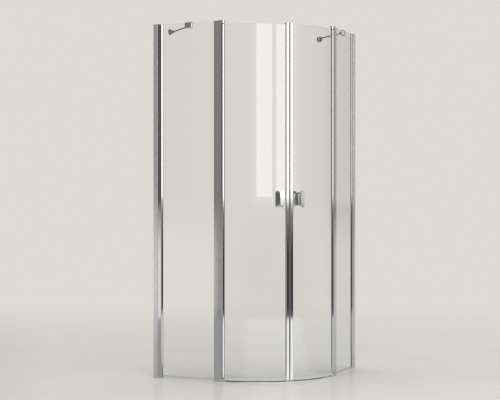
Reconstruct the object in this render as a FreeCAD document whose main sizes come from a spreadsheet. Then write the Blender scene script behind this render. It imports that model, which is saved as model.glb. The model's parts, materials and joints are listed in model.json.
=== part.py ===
import FreeCAD, Part
import math
import os

import Sketcher

# Quadrant shower enclosure for a square corner: two flat side panels, and two curved
# doors that hang on round stiles and meet on the diagonal.
#
# Frame: millimetres, +Z up.  The origin is on the floor, in the middle of the square.
# The walls are the planes x = -side/2 and y = +side/2, so the doors bulge towards +X -Y.
# The left half is modelled, and the right half is its mirror image in the diagonal
# plane through the room's corner.  "From the wall" and "from the front" are distances
# from the planes x = -side/2 and y = -side/2.

V = FreeCAD.Vector
UP = V(0, 0, 1)
MIRROR_NORMAL = V(1, 1, 0)
DIAGONAL = 45.0
HALF_TURN = 180.0
FRONTWARDS = -90.0

# Each driving size: alias, number, what it is.
DRIVING_SIZES = [
    ("side", 887.0, "wall to the outermost face of the opposite panel"),
    ("post_height", 1950.0, "height of the frame"),
    ("glass_thickness", 6.0, "toughened glass"),
    ("glass_arris", 0.5, "ground edges along the top and bottom of the glass"),
    ("glass_drop", 4.0, "top edge of the fixed panels below the top of the frame"),
    ("channel_wall", 1.6, "wall of the channel screwed to the room's wall"),
    ("channel_leg", 25.0, "how far the channel's legs stand out from the wall"),
    ("slide_gap", 0.4, "between the channel's legs and the profile that slides in it"),
    ("fixing_radius", 2.75, "wall screw holes"),
    ("fixing_inset", 119.0, "outer wall screw holes from the channel's ends"),
    ("profile_depth", 18.0, "front to back of the glazing profiles"),
    ("profile_wall", 1.6, "wall of the glazing profiles"),
    ("adjustment", 10.0, "room behind the wall profile for a wall out of true"),
    ("wall_profile_end", 54.0, "nose of the wall profile, from the wall"),
    ("slot_depth", 16.0, "glass slot in the fixed panel's profiles"),
    ("seal_thickness", 1.8, "glazing seal beside the glass"),
    ("seal_floor", 1.5, "glazing seal under the glass edge"),
    ("seal_recess", 0.8, "glazing seal inside the mouth of its slot"),
    ("cap_thickness", 2.0, "moulded caps on the profiles"),
    ("cap_round", 1.0, "rounded rim of the moulded caps"),
    ("adjuster_radius", 2.0, "screws that lock the wall profile in the channel"),
    ("adjuster_head_radius", 4.0, "head of the locking screw, radius"),
    ("adjuster_head_height", 2.4, "head of the locking screw, height"),
    ("adjuster_inset", 234.0, "outer locking screws from the channel's ends"),
    ("adjuster_from_wall", 18.0, "locking screws from the wall"),
    ("screw_clearance", 0.2, "round a screw's shank, on the radius"),
    ("sill_gap", 6.0, "fixed glass above the floor"),
    ("sill_height", 14.0, "seal strip under the fixed glass"),
    ("sill_wall", 1.6, "wall of that strip"),
    ("stile_from_wall", 410.0, "door pivot axis from the wall"),
    ("stile_proud", 1.0, "round door stile beyond both faces of the hinge profile"),
    ("seat_gap", 0.6, "stile to the hollow seat in the hinge profile"),
    ("end_profile_from_wall", 360.0, "mouth of the fixed panel's end profile"),
    ("end_profile_width", 21.0, "width of the end profile"),
    ("edge_round", 2.2, "rounded long edges of the end profile"),
    ("port_radius", 1.7, "screw port in an extrusion"),
    ("port_web", 7.2, "web round the screw port of the hinge profile"),
    ("port_offset", 8.0, "screw port from the hinge profile's back"),
    ("bracket_height", 16.0, "pivot bracket above and below the hinge profile"),
    ("bracket_round", 1.0, "rounded rim of the brackets"),
    ("bracket_screw_head", 4.2, "head of the bracket screw, radius"),
    ("bracket_screw_sink", 3.5, "how deep the head is sunk"),
    ("bracket_screw_length", 28.0, "shank under the head"),
    ("upper_pivot_gap", 5.0, "top bracket to the pivot plate on the stile"),
    ("lower_pivot_gap", 4.0, "the same at the bottom, where the door stands on its bush"),
    ("pivot_plate", 2.0, "plate on the end of the stile"),
    ("pivot_radius", 4.0, "pivot pin"),
    ("pivot_length", 14.0, "pivot pin beyond its plate"),
    ("running_gap", 0.05, "pivot pin in its bush, on the radius"),
    ("bush_wall", 1.45, "wall of the pivot bush"),
    ("bush_length", 10.0, "bush inside the bracket"),
    ("bush_relief", 1.0, "bracket's bore beyond the end of the bush"),
    ("bush_flange", 2.0, "flange of the bush beyond its sleeve"),
    ("moving_gap", 0.3, "between pieces that move past each other"),
    ("stile_slot_back", 3.0, "floor of the stile's slot behind the pivot axis"),
    ("stile_port_offset", 6.3, "screw port of the stile behind the pivot axis"),
    ("dowel_length", 12.0, "dowel of the pivot plate in the stile's port"),
    ("meeting_gap", 0.3, "each magnet to the plane where the doors meet"),
    ("magnet_proud", 2.0, "magnet beyond the closing profile"),
    ("magnet_width", 8.0, "width of the magnet strip"),
    ("magnet_round", 1.0, "rounded front edges of the magnet strip"),
    ("magnet_seat", 4.0, "how deep the magnet sits"),
    ("closing_width", 18.5, "closing profile along the door"),
    ("closing_depth", 18.0, "closing profile front to back"),
    ("closing_round", 4.0, "rounded long edges of the closing profile"),
    ("closing_slot", 10.0, "depth of its glass slot"),
    ("closing_below", 10.0, "closing profile and its cap below the door glass"),
    ("closing_above", 8.0, "closing profile and its cap above the door glass"),
    ("closing_cap", 3.0, "caps on the closing profile"),
    ("threshold_height", 8.0, "curved threshold strip under the doors"),
    ("threshold_width", 20.0, "across the threshold strip"),
    ("threshold_crown", 7.0, "flat top of the threshold strip"),
    ("threshold_lip", 2.5, "height of its edges"),
    ("threshold_cap_length", 9.0, "end piece of the threshold strip"),
    ("threshold_cap_rise", 0.5, "end piece over the strip"),
    ("drip_clip_height", 12.0, "how far the door's bottom seal grips up the glass"),
    ("drip_clip_wall", 1.3, "wall of the bottom seal"),
    ("drip_fin", 1.6, "thickness of its hanging fin"),
    ("drip_clearance", 1.3, "fin above the threshold strip"),
    ("drip_start", 14.0, "bottom seal from the pivot axis"),
    ("handle_from_meeting", 55.0, "middle of a handle from the meeting plane"),
    ("handle_height", 984.0, "middle of the handles above the floor"),
    ("handle_reach", 41.0, "handle from its foot to its front"),
    ("grip_width", 24.0, "grip across"),
    ("grip_length", 90.0, "grip top to bottom"),
    ("grip_thickness", 9.0, "grip front to back"),
    ("grip_bevel", 3.0, "how much smaller the grip's front is"),
    ("waist_width", 9.0, "narrowest part of the handle across"),
    ("waist_length", 66.0, "narrowest part of the handle top to bottom"),
    ("foot_width", 17.0, "foot of the handle across"),
    ("foot_length", 76.0, "foot of the handle top to bottom"),
    ("handle_seal", 1.0, "seal between a handle's foot and the glass"),
    ("stud_radius", 2.5, "studs that join the two handles through the glass"),
    ("stud_spacing", 50.0, "between the studs"),
    ("stud_depth", 11.0, "how deep a stud goes into each handle"),
    ("glass_hole_radius", 4.0, "holes in the door glass"),
    ("brace_drop", 13.0, "middle of the bracing rod below the fixed panels' top edge"),
    ("clamp_from_wall", 208.0, "middle of the brace's glass clamp from the wall"),
    ("clamp_width", 44.0, "glass clamp across"),
    ("clamp_drop", 32.0, "glass clamp top to bottom"),
    ("clamp_jaw", 4.0, "thickness of a jaw and of the bridge"),
    ("clamp_round", 5.0, "corners of the glass clamp"),
    ("clamp_pad", 0.8, "pad between clamp and glass"),
    ("clamp_screw_spread", 28.0, "between the two clamp screws"),
    ("clamp_screw_radius", 2.5, "clamp screws"),
    ("clamp_screw_proud", 0.8, "clamp screws beyond the jaw"),
    ("clamp_screw_rise", 7.5, "clamp screws above the clamp's lower edge"),
    ("knuckle_radius", 8.0, "round end of the brace's fork"),
    ("knuckle_reach", 10.0, "fork pivot from the clamp's jaw"),
    ("fork_gap", 8.6, "between the fork's ears"),
    ("fork_ear", 4.0, "thickness of an ear"),
    ("eye_radius", 7.5, "eye of the bracing rod"),
    ("eye_thickness", 8.0, "height of that eye"),
    ("rod_radius", 3.5, "bracing rod"),
    ("rod_inset", 3.0, "how far the rod's ends run inside the rims of its eyes"),
    ("brace_pin_radius", 2.5, "pivot screw of the brace"),
    ("brace_pin_head", 4.5, "head of the pivot screw, radius"),
    ("brace_pin_head_height", 2.5, "head of the pivot screw, height"),
    ("rosette_radius", 17.0, "round wall plate of the brace"),
    ("rosette_thickness", 5.0, "thickness of that plate"),
    ("rosette_pivot", 22.0, "fork pivot from the wall"),
    ("rosette_hole_radius", 2.2, "screw holes of the wall plate"),
    ("rosette_hole_spacing", 25.0, "between those holes"),
    ("hex_key", 3.0, "hexagon sockets across their flats"),
    ("hex_depth", 1.6, "depth of the hexagon sockets"),
    ("overcut", 1.0, "how far a cutting tool runs past the piece that it cuts"),
]
FIXING_COUNT = 4
ADJUSTER_COUNT = 3

doc = FreeCAD.newDocument("QuadrantShowerEnclosure")
sheet = doc.addObject("Spreadsheet::Sheet", "Sizes")


class Size:
    """A number together with the sheet formula that gives it."""

    def __init__(self, value, formula):
        self.value = float(value)
        self.formula = formula

    def __add__(self, other):
        other = as_size(other)
        return Size(self.value + other.value, f"({self.formula} + {other.formula})")

    def __radd__(self, other):
        return as_size(other) + self

    def __sub__(self, other):
        other = as_size(other)
        return Size(self.value - other.value, f"({self.formula} - {other.formula})")

    def __rsub__(self, other):
        return as_size(other) - self

    def __mul__(self, other):
        other = as_size(other)
        return Size(self.value * other.value, f"({self.formula} * {other.formula})")

    def __rmul__(self, other):
        return as_size(other) * self

    def __truediv__(self, other):
        other = as_size(other)
        return Size(self.value / other.value, f"({self.formula} / {other.formula})")

    def __neg__(self):
        return Size(-self.value, f"(0 - {self.formula})")


def as_size(number):
    """A Size as it is, or a plain number as a Size."""
    if isinstance(number, Size):
        return number
    return Size(number, repr(float(number)))


def root(size):
    return Size(math.sqrt(size.value), f"sqrt({size.formula})")


def cosine(size):
    return Size(math.cos(math.radians(size.value)), f"cos({size.formula})")


def sine(size):
    return Size(math.sin(math.radians(size.value)), f"sin({size.formula})")


def arc_sine(size):
    """Degrees, as a plain number."""
    return Size(math.degrees(math.asin(size.value)), f"(asin({size.formula}) / 1 deg)")


class Sizes:
    """Every driving size by its alias."""


for row, (alias, number, meaning) in enumerate(DRIVING_SIZES, start=1):
    sheet.set(f"A{row}", str(number))
    sheet.setAlias(f"A{row}", alias)
    sheet.set(f"B{row}", meaning)
    setattr(Sizes, alias, Size(number, f"Sizes.{alias}"))
doc.recompute()
S = Sizes


# ---------------------------------------------------------------- derived sizes

WALL = -(S.side / 2)
FRONT = -(S.side / 2)
CHANNEL_DEPTH = S.profile_depth + 2 * (S.channel_wall + S.slide_gap)
GLASS = CHANNEL_DEPTH / 2
HALF_GLASS = S.glass_thickness / 2
HALF_SLOT = HALF_GLASS + S.seal_thickness
PROFILE_FRONT = GLASS - S.profile_depth / 2
PROFILE_BACK = GLASS + S.profile_depth / 2

GLASS_TOP = S.post_height - S.glass_drop
CAPPED_HEIGHT = S.post_height - S.cap_thickness
FIXING_PITCH = (CAPPED_HEIGHT - 2 * S.fixing_inset) / (FIXING_COUNT - 1)
ADJUSTER_PITCH = (CAPPED_HEIGHT - 2 * S.adjuster_inset) / (ADJUSTER_COUNT - 1)

# The doors' arc is tangent to both side panels at the pivot axes.
ARC_RADIUS = S.side - GLASS - S.stile_from_wall
ARC_X = WALL + S.stile_from_wall
ARC_Y = FRONT + GLASS + ARC_RADIUS

END_PROFILE_END = S.end_profile_from_wall + S.end_profile_width
END_SLOT_FLOOR = S.end_profile_from_wall + S.slot_depth
NOSE_RADIUS = S.profile_depth / 2
NOSE_CENTRE = S.wall_profile_end - NOSE_RADIUS
NOSE_MOUTH = NOSE_CENTRE + root(NOSE_RADIUS * NOSE_RADIUS - HALF_SLOT * HALF_SLOT)
WALL_SLOT_FLOOR = S.wall_profile_end - S.slot_depth
PANEL_START = WALL_SLOT_FLOOR + S.seal_floor
PANEL_END = END_SLOT_FLOOR - S.seal_floor

BRACKET_TOP = S.post_height - S.bracket_height
DOOR_TOP = BRACKET_TOP - S.upper_pivot_gap - S.pivot_plate
DOOR_BOTTOM = S.bracket_height + S.lower_pivot_gap + S.pivot_plate
STILE_RADIUS = S.profile_depth / 2 + S.stile_proud
SEAT_RADIUS = STILE_RADIUS + S.seat_gap
BRACKET_SCREW_X = END_PROFILE_END + S.port_offset
BUSH_RADIUS = S.pivot_radius + S.running_gap + S.bush_wall

STILE_MOUTH = root(STILE_RADIUS * STILE_RADIUS - HALF_SLOT * HALF_SLOT)
CLOSING_FRONT = -(S.meeting_gap + S.magnet_proud)
CLOSING_BACK = CLOSING_FRONT - S.closing_width
CLOSING_SLOT_FLOOR = CLOSING_BACK + S.closing_slot
CLOSING_GLASS_END = CLOSING_SLOT_FLOOR - S.seal_floor
CLOSING_BOTTOM = DOOR_BOTTOM - S.closing_below
CLOSING_TOP = DOOR_TOP + S.closing_above
PROFILE_BOTTOM = CLOSING_BOTTOM + S.closing_cap
PROFILE_TOP = CLOSING_TOP - S.closing_cap

HANDLE_TURN = DIAGONAL - arc_sine(S.handle_from_meeting / ARC_RADIUS)
CLAMP_FRONT = GLASS - HALF_GLASS - S.clamp_pad - S.clamp_jaw
CLAMP_BACK = GLASS + HALF_GLASS + S.clamp_pad + S.clamp_jaw
CLAMP_TOP = GLASS_TOP + S.clamp_jaw
CLAMP_BOTTOM = CLAMP_TOP - S.clamp_drop
BRACE_HEIGHT = GLASS_TOP - S.brace_drop
CLAMP_PIVOT_Y = CLAMP_BACK + S.knuckle_reach
BRACE_RUN = S.clamp_from_wall - S.rosette_pivot
ROSETTE_Y = CLAMP_PIVOT_Y + BRACE_RUN
FORK_HEIGHT = S.fork_gap / 2 + S.fork_ear


# ---------------------------------------------------------------- frames

class Frame:
    """A place on the floor plan that a piece is drawn in: its origin and its turn."""

    def __init__(self, x, y, turn=0.0):
        self.x = as_size(x)
        self.y = as_size(y)
        self.turn = as_size(turn)

    def place(self, thing, z=0.0, extra_turn=0.0):
        """Put a drawn piece into this frame, tied to the sheet."""
        turn = self.turn + extra_turn
        height = as_size(z)
        rotation = FreeCAD.Rotation(UP, turn.value)
        thing.Placement = FreeCAD.Placement(V(self.x.value, self.y.value, height.value), rotation)
        thing.setExpression(".Placement.Base.x", self.x.formula)
        thing.setExpression(".Placement.Base.y", self.y.formula)
        thing.setExpression(".Placement.Base.z", height.formula)
        if abs(turn.value) > 1e-9:
            thing.setExpression(".Placement.Rotation.Angle", turn.formula)
        return thing

    def at(self, x, y):
        """The plan position of a point given in this frame."""
        along = cosine(self.turn)
        across = sine(self.turn)
        return self.x + x * along - y * across, self.y + x * across + y * along

    def drill(self, name, x, y, z, radius, length, axis=UP):
        """A round rod with one end at a point of this frame, along an axis of the frame."""
        rod = doc.addObject("Part::Cylinder", name)
        rod.setExpression("Radius", as_size(radius).formula)
        rod.setExpression("Height", as_size(length).formula)
        turned = FreeCAD.Rotation(UP, self.turn.value)
        rod_turn = turned.multiply(FreeCAD.Rotation(UP, axis))
        at_x, at_y = self.at(as_size(x), as_size(y))
        at_z = as_size(z)
        rod.Placement = FreeCAD.Placement(V(at_x.value, at_y.value, at_z.value), rod_turn)
        rod.setExpression(".Placement.Base.x", at_x.formula)
        rod.setExpression(".Placement.Base.y", at_y.formula)
        rod.setExpression(".Placement.Base.z", at_z.formula)
        return rod


PANEL = Frame(WALL, FRONT)
STILE = Frame(WALL + S.stile_from_wall, FRONT + GLASS)
ARC = Frame(ARC_X, ARC_Y)
MEETING = Frame(
    ARC_X + ARC_RADIUS * cosine(as_size(DIAGONAL)),
    ARC_Y - ARC_RADIUS * sine(as_size(DIAGONAL)),
    DIAGONAL,
)
HANDLE = Frame(
    ARC_X + ARC_RADIUS * sine(HANDLE_TURN),
    ARC_Y - ARC_RADIUS * cosine(HANDLE_TURN),
    HANDLE_TURN,
)
INNER_HANDLE = Frame(HANDLE.x, HANDLE.y, HANDLE_TURN + HALF_TURN)


# ---------------------------------------------------------------- outlines and bodies

class Outline:
    """A closed outline of straight and round stretches with every corner on the sheet.

    corner() adds a corner, rounded when it is square and a radius is given.  arc()
    goes round a centre to its end point, anticlockwise unless told otherwise.
    """

    def __init__(self):
        self.corners = []
        self.centres = {}

    def corner(self, x, y, radius=None):
        self.corners.append((as_size(x), as_size(y), radius))
        return self

    def arc(self, x, y, centre_x, centre_y, clockwise=False):
        self.centres[len(self.corners)] = (as_size(centre_x), as_size(centre_y), clockwise)
        self.corners.append((as_size(x), as_size(y), None))
        return self

    def stretches(self):
        """Points of the outline in order, and the arc that leads to each, if any."""
        points = []
        count = len(self.corners)
        for index, (x, y, radius) in enumerate(self.corners):
            if radius is None:
                points.append((x, y, self.centres.get(index)))
                continue
            before = self.corners[index - 1]
            after = self.corners[(index + 1) % count]
            in_x, in_y = unit_step(before, (x, y))
            out_x, out_y = unit_step((x, y), after)
            clockwise = in_x * out_y - in_y * out_x < 0
            centre = (x + radius * (out_x - in_x), y + radius * (out_y - in_y), clockwise)
            points.append((x - radius * in_x, y - radius * in_y, None))
            points.append((x + radius * out_x, y + radius * out_y, centre))
        return points


def unit_step(start, end):
    """The direction of a stretch that runs along x or y, as -1, 0 or 1 for each."""
    step_x = end[0].value - start[0].value
    step_y = end[1].value - start[1].value
    if abs(step_x) > abs(step_y):
        return math.copysign(1, step_x), 0
    return 0, math.copysign(1, step_y)


def rectangle(x_low, y_low, x_high, y_high, radius=None):
    outline = Outline()
    outline.corner(x_low, y_low, radius)
    outline.corner(x_high, y_low, radius)
    outline.corner(x_high, y_high, radius)
    outline.corner(x_low, y_high, radius)
    return outline


def stadium(width, length):
    """An upright slot shape about the origin."""
    side = width / 2
    end = (length - width) / 2
    outline = Outline()
    outline.corner(side, -end)
    outline.corner(side, end)
    outline.arc(-side, end, 0, end)
    outline.corner(-side, -end)
    outline.arc(side, -end, 0, -end)
    return outline


def ring_sector(inner, outer, start, end):
    """Part of a ring about the origin, between two angles in degrees."""
    outline = Outline()
    outline.corner(inner * cosine(start), inner * sine(start))
    outline.corner(outer * cosine(start), outer * sine(start))
    outline.arc(outer * cosine(end), outer * sine(end), 0, 0)
    outline.corner(inner * cosine(end), inner * sine(end))
    outline.arc(inner * cosine(start), inner * sine(start), 0, 0, clockwise=True)
    return outline


def new_body(name):
    body = doc.addObject("PartDesign::Body", name)
    body.Label = name
    return body


def new_sketch(body, name, plane, offset=0.0):
    """A sketch on one of the body's own planes, moved along the plane's normal."""
    sketch = body.newObject("Sketcher::SketchObject", name)
    planes = [feature for feature in body.Origin.OriginFeatures if feature.Role == plane]
    sketch.AttachmentSupport = [(planes[0], "")]
    sketch.MapMode = "FlatFace"
    distance = as_size(offset)
    sketch.AttachmentOffset = FreeCAD.Placement(V(0, 0, distance.value), FreeCAD.Rotation())
    sketch.setExpression(".AttachmentOffset.Base.z", distance.formula)
    return sketch


def tie(sketch, kind, element, point, size, name):
    """Fix one coordinate of a sketch point to a sheet formula."""
    index = sketch.addConstraint(Sketcher.Constraint(kind, -1, 1, element, point, size.value))
    sketch.renameConstraint(index, name)
    sketch.setExpression(f"Constraints.{name}", size.formula)


def draw(sketch, outline, tag):
    """Draw an outline in a sketch and tie each corner to the sheet."""
    points = outline.stretches()
    if points[0][2] is None and is_same_point(points[0], points[-1]):
        points[0] = (points[0][0], points[0][1], points[-1][2])
        points.pop()
    first = sketch.GeometryCount
    count = len(points)
    for index in range(count):
        start_x, start_y, _ = points[index]
        end_x, end_y, centre = points[(index + 1) % count]
        start = V(start_x.value, start_y.value, 0)
        end = V(end_x.value, end_y.value, 0)
        if centre is None:
            sketch.addGeometry(Part.LineSegment(start, end), False)
        else:
            sketch.addGeometry(arc_between(start, end, centre), False)
    for index in range(count):
        follower = (index + 1) % count
        ends_at = 1 if is_clockwise(points[follower]) else 2
        starts_at = 2 if is_clockwise(points[(follower + 1) % count]) else 1
        sketch.addConstraint(Sketcher.Constraint(
            "Coincident", first + index, ends_at, first + follower, starts_at))
    for index in range(count):
        x, y, _ = points[index]
        _, _, centre = points[(index + 1) % count]
        starts_at = 2 if is_clockwise(points[(index + 1) % count]) else 1
        tie(sketch, "DistanceX", first + index, starts_at, x, f"{tag}_x{index}")
        tie(sketch, "DistanceY", first + index, starts_at, y, f"{tag}_y{index}")
        if centre is None:
            continue
        next_x, next_y, _ = points[(index + 1) % count]
        chord_is_upright = abs(next_y.value - y.value) > abs(next_x.value - x.value)
        if chord_is_upright:
            tie(sketch, "DistanceX", first + index, 3, centre[0], f"{tag}_centre{index}")
        else:
            tie(sketch, "DistanceY", first + index, 3, centre[1], f"{tag}_centre{index}")


def is_same_point(first, second):
    gap = math.hypot(first[0].value - second[0].value, first[1].value - second[1].value)
    return gap < 1e-6


def is_clockwise(point):
    return point[2] is not None and point[2][2]


def arc_between(start, end, centre):
    """The arc round a centre from start to end, in the outline's direction."""
    middle = V(centre[0].value, centre[1].value, 0)
    if centre[2]:
        start, end = end, start
    radius = (start - middle).Length
    first_angle = math.atan2(start.y - middle.y, start.x - middle.x)
    last_angle = math.atan2(end.y - middle.y, end.x - middle.x)
    if last_angle <= first_angle:
        last_angle += 2 * math.pi
    return Part.ArcOfCircle(Part.Circle(middle, UP, radius), first_angle, last_angle)


def draw_circle(sketch, x, y, radius, tag):
    middle_x = as_size(x)
    middle_y = as_size(y)
    element = sketch.addGeometry(
        Part.Circle(V(middle_x.value, middle_y.value, 0), UP, radius.value), False)
    tie(sketch, "DistanceX", element, 3, middle_x, f"{tag}_x")
    tie(sketch, "DistanceY", element, 3, middle_y, f"{tag}_y")
    index = sketch.addConstraint(Sketcher.Constraint("Radius", element, radius.value))
    sketch.renameConstraint(index, f"{tag}_radius")
    sketch.setExpression(f"Constraints.{tag}_radius", radius.formula)


def extrusion(name, frame, outline, bottom, top, openings=(), circles=()):
    """A section drawn on the plan and padded upwards from bottom to top."""
    body = new_body(name)
    sketch = new_sketch(body, f"{name}_section", "XY_Plane")
    draw(sketch, outline, "outline")
    for number, opening in enumerate(openings):
        draw(sketch, opening, f"opening{number}")
    for number, (x, y, radius) in enumerate(circles):
        draw_circle(sketch, x, y, radius, f"hole{number}")
    pad = body.newObject("PartDesign::Pad", f"{name}_pad")
    pad.Profile = sketch
    pad.setExpression("Length", (as_size(top) - bottom).formula)
    sketch.Visibility = False
    frame.place(body, bottom)
    return body


def sideways_extrusion(name, frame, outline, width, plane, x=0.0, y=0.0):
    """A section drawn on an upright plane through (x, y) and padded to both sides."""
    body = new_body(name)
    sketch = new_sketch(body, f"{name}_section", plane)
    draw(sketch, outline, "outline")
    pad = body.newObject("PartDesign::Pad", f"{name}_pad")
    pad.Profile = sketch
    pad.Midplane = True
    pad.setExpression("Length", as_size(width).formula)
    at_x, at_y = frame.at(as_size(x), as_size(y))
    Frame(at_x, at_y, frame.turn).place(body)
    return body


def swept_round(name, outline, middle_angle, span):
    """A section of radius against height, turned about the doors' arc centre."""
    body = new_body(name)
    sketch = new_sketch(body, f"{name}_section", "XZ_Plane")
    draw(sketch, outline, "outline")
    turned = body.newObject("PartDesign::Revolution", f"{name}_revolution")
    turned.Profile = sketch
    turned.ReferenceAxis = (sketch, ["V_Axis"])
    turned.Midplane = True
    turned.setExpression("Angle", span.formula)
    Frame(ARC_X, ARC_Y, middle_angle).place(body)
    return body


def end_face(shape, highest):
    """The name of a shape's highest or lowest face."""
    heights = [face.CenterOfMass.z for face in shape.Faces]
    wanted = max(heights) if highest else min(heights)
    return f"Face{heights.index(wanted) + 1}"


def soften(body, radius, highest=True):
    """Round the rim of a body's highest or lowest face."""
    doc.recompute()
    base = body.Tip
    fillet = body.newObject("PartDesign::Fillet", f"{body.Name}_rim")
    fillet.Base = (base, [end_face(base.Shape, highest)])
    fillet.setExpression("Radius", radius.formula)
    body.Tip = fillet
    return body


def grind(body):
    """Take the sharp edges off the top and the bottom of a sheet of glass."""
    doc.recompute()
    base = body.Tip
    chamfer = body.newObject("PartDesign::Chamfer", f"{body.Name}_arris")
    chamfer.Base = (base, [end_face(base.Shape, True), end_face(base.Shape, False)])
    chamfer.setExpression("Size", S.glass_arris.formula)
    body.Tip = chamfer
    return body


def cut(name, base, tools):
    """The base with every tool taken away."""
    result = doc.addObject("Part::Cut", name)
    result.Label = name
    result.Base = base
    result.Tool = tools[0] if len(tools) == 1 else fuse(f"{name}_tools", tools)
    return result


def fuse(name, shapes):
    result = doc.addObject("Part::MultiFuse", name)
    result.Label = name
    result.Shapes = shapes
    return result


def group(name, shapes):
    """Separate solids that share one node."""
    result = doc.addObject("Part::Compound", name)
    result.Label = name
    result.Links = shapes
    return result


def mirrored(name, source):
    """The right-hand twin of a left-hand piece."""
    result = doc.addObject("Part::Mirroring", name)
    result.Label = name
    result.Source = source
    result.Base = V(0, 0, 0)
    result.Normal = MIRROR_NORMAL
    return result


SUBPARTS = []


def keep(piece):
    SUBPARTS.append(piece)


def keep_pair(piece, noun):
    """Keep a left-hand piece and its right-hand twin as two nodes."""
    piece.Label = f"left_{noun}"
    keep(piece)
    keep(mirrored(f"right_{noun}", piece))


def keep_shared(noun, pieces):
    """Keep small pieces of both sides as one node of separate solids."""
    twins = [mirrored(f"{piece.Name}_twin", piece) for piece in pieces]
    keep(group(noun, pieces + twins))


def socket(name, x, y, z):
    """A hexagon socket to cut into the head of an upright screw."""
    hexagon = doc.addObject("Part::Prism", name)
    hexagon.Polygon = 6
    hexagon.setExpression("Circumradius", (S.hex_key / root(as_size(3))).formula)
    hexagon.setExpression("Height", S.hex_depth.formula)
    at_x, at_y = PANEL.at(x, y)
    Frame(at_x, at_y).place(hexagon, z)
    return hexagon


# ---------------------------------------------------------------- wall side

def wall_channel():
    """The channel that is screwed to the wall, open towards the glass."""
    inner_front = S.channel_wall
    inner_back = CHANNEL_DEPTH - S.channel_wall
    outline = Outline()
    outline.corner(0, 0)
    outline.corner(S.channel_leg, 0)
    outline.corner(S.channel_leg, inner_front)
    outline.corner(S.channel_wall, inner_front)
    outline.corner(S.channel_wall, inner_back)
    outline.corner(S.channel_leg, inner_back)
    outline.corner(S.channel_leg, CHANNEL_DEPTH)
    outline.corner(0, CHANNEL_DEPTH)
    channel = extrusion("left_channel_section", PANEL, outline, 0, CAPPED_HEIGHT)
    holes = []
    for number in range(FIXING_COUNT):
        height = S.fixing_inset + FIXING_PITCH * number
        holes.append(PANEL.drill(
            f"fixing_hole_{number}", -S.overcut, GLASS, height,
            S.fixing_radius, S.channel_wall + 2 * S.overcut, V(1, 0, 0)))
    holes += adjuster_rods("channel_adjuster_hole", S.adjuster_radius + S.screw_clearance)
    return cut("left_wall_channel", channel, holes)


def adjuster_rods(name, radius):
    """Rods along the locking screws, through the channel's inner leg and the profile."""
    rods = []
    start = CHANNEL_DEPTH + S.overcut
    length = S.overcut + S.channel_wall + S.slide_gap + S.profile_wall * 2
    for number in range(ADJUSTER_COUNT):
        height = S.adjuster_inset + ADJUSTER_PITCH * number
        rods.append(PANEL.drill(
            f"{name}_{number}", S.adjuster_from_wall, start, height,
            radius, length, V(0, -1, 0)))
    return rods


def wall_profile():
    """The hollow profile with a round nose that slides in the channel and holds the glass."""
    chamber_end = WALL_SLOT_FLOOR - S.profile_wall
    outline = Outline()
    outline.corner(S.adjustment, PROFILE_FRONT)
    outline.corner(NOSE_CENTRE, PROFILE_FRONT)
    outline.arc(NOSE_MOUTH, GLASS - HALF_SLOT, NOSE_CENTRE, GLASS)
    outline.corner(WALL_SLOT_FLOOR, GLASS - HALF_SLOT)
    outline.corner(WALL_SLOT_FLOOR, GLASS + HALF_SLOT)
    outline.corner(NOSE_MOUTH, GLASS + HALF_SLOT)
    outline.arc(NOSE_CENTRE, PROFILE_BACK, NOSE_CENTRE, GLASS)
    outline.corner(S.adjustment, PROFILE_BACK)
    chamber = rectangle(
        S.adjustment + S.profile_wall, PROFILE_FRONT + S.profile_wall,
        chamber_end, PROFILE_BACK - S.profile_wall)
    profile = extrusion("left_wall_profile_section", PANEL, outline, 0, CAPPED_HEIGHT, [chamber])
    holes = adjuster_rods("profile_adjuster_hole", S.adjuster_radius + S.screw_clearance)
    return cut("left_wall_profile", profile, holes)


def adjusting_screws():
    """Pan-head screws from inside the shower that lock the wall profile."""
    screws = []
    length = S.channel_wall + S.slide_gap + S.profile_wall * 2
    for number in range(ADJUSTER_COUNT):
        height = S.adjuster_inset + ADJUSTER_PITCH * number
        shank = PANEL.drill(
            f"adjuster_shank_{number}", S.adjuster_from_wall, CHANNEL_DEPTH, height,
            S.adjuster_radius, length, V(0, -1, 0))
        head = PANEL.drill(
            f"adjuster_head_{number}", S.adjuster_from_wall, CHANNEL_DEPTH, height,
            S.adjuster_head_radius, S.adjuster_head_height, V(0, 1, 0))
        screws.append(fuse(f"adjusting_screw_{number}", [shank, head]))
    return screws


def profile_caps():
    """Moulded caps on the wall channel and on the fixed panel's end profile."""
    wall_cap = Outline()
    wall_cap.corner(0, 0)
    wall_cap.corner(NOSE_CENTRE, 0)
    wall_cap.arc(NOSE_CENTRE, CHANNEL_DEPTH, NOSE_CENTRE, GLASS)
    wall_cap.corner(0, CHANNEL_DEPTH)
    first = extrusion("wall_cap", PANEL, wall_cap, CAPPED_HEIGHT, S.post_height)
    end_cap = rectangle(S.end_profile_from_wall, PROFILE_FRONT, END_PROFILE_END, PROFILE_BACK)
    second = extrusion(
        "end_cap", PANEL, end_cap, GLASS_TOP, GLASS_TOP + S.cap_thickness)
    soften(first, S.cap_round)
    soften(second, S.cap_round)
    return [first, second]


# ---------------------------------------------------------------- fixed panel

def fixed_glass():
    outline = rectangle(PANEL_START, GLASS - HALF_GLASS, PANEL_END, GLASS + HALF_GLASS)
    return grind(extrusion("left_fixed_glass", PANEL, outline, S.sill_gap, GLASS_TOP))


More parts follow.
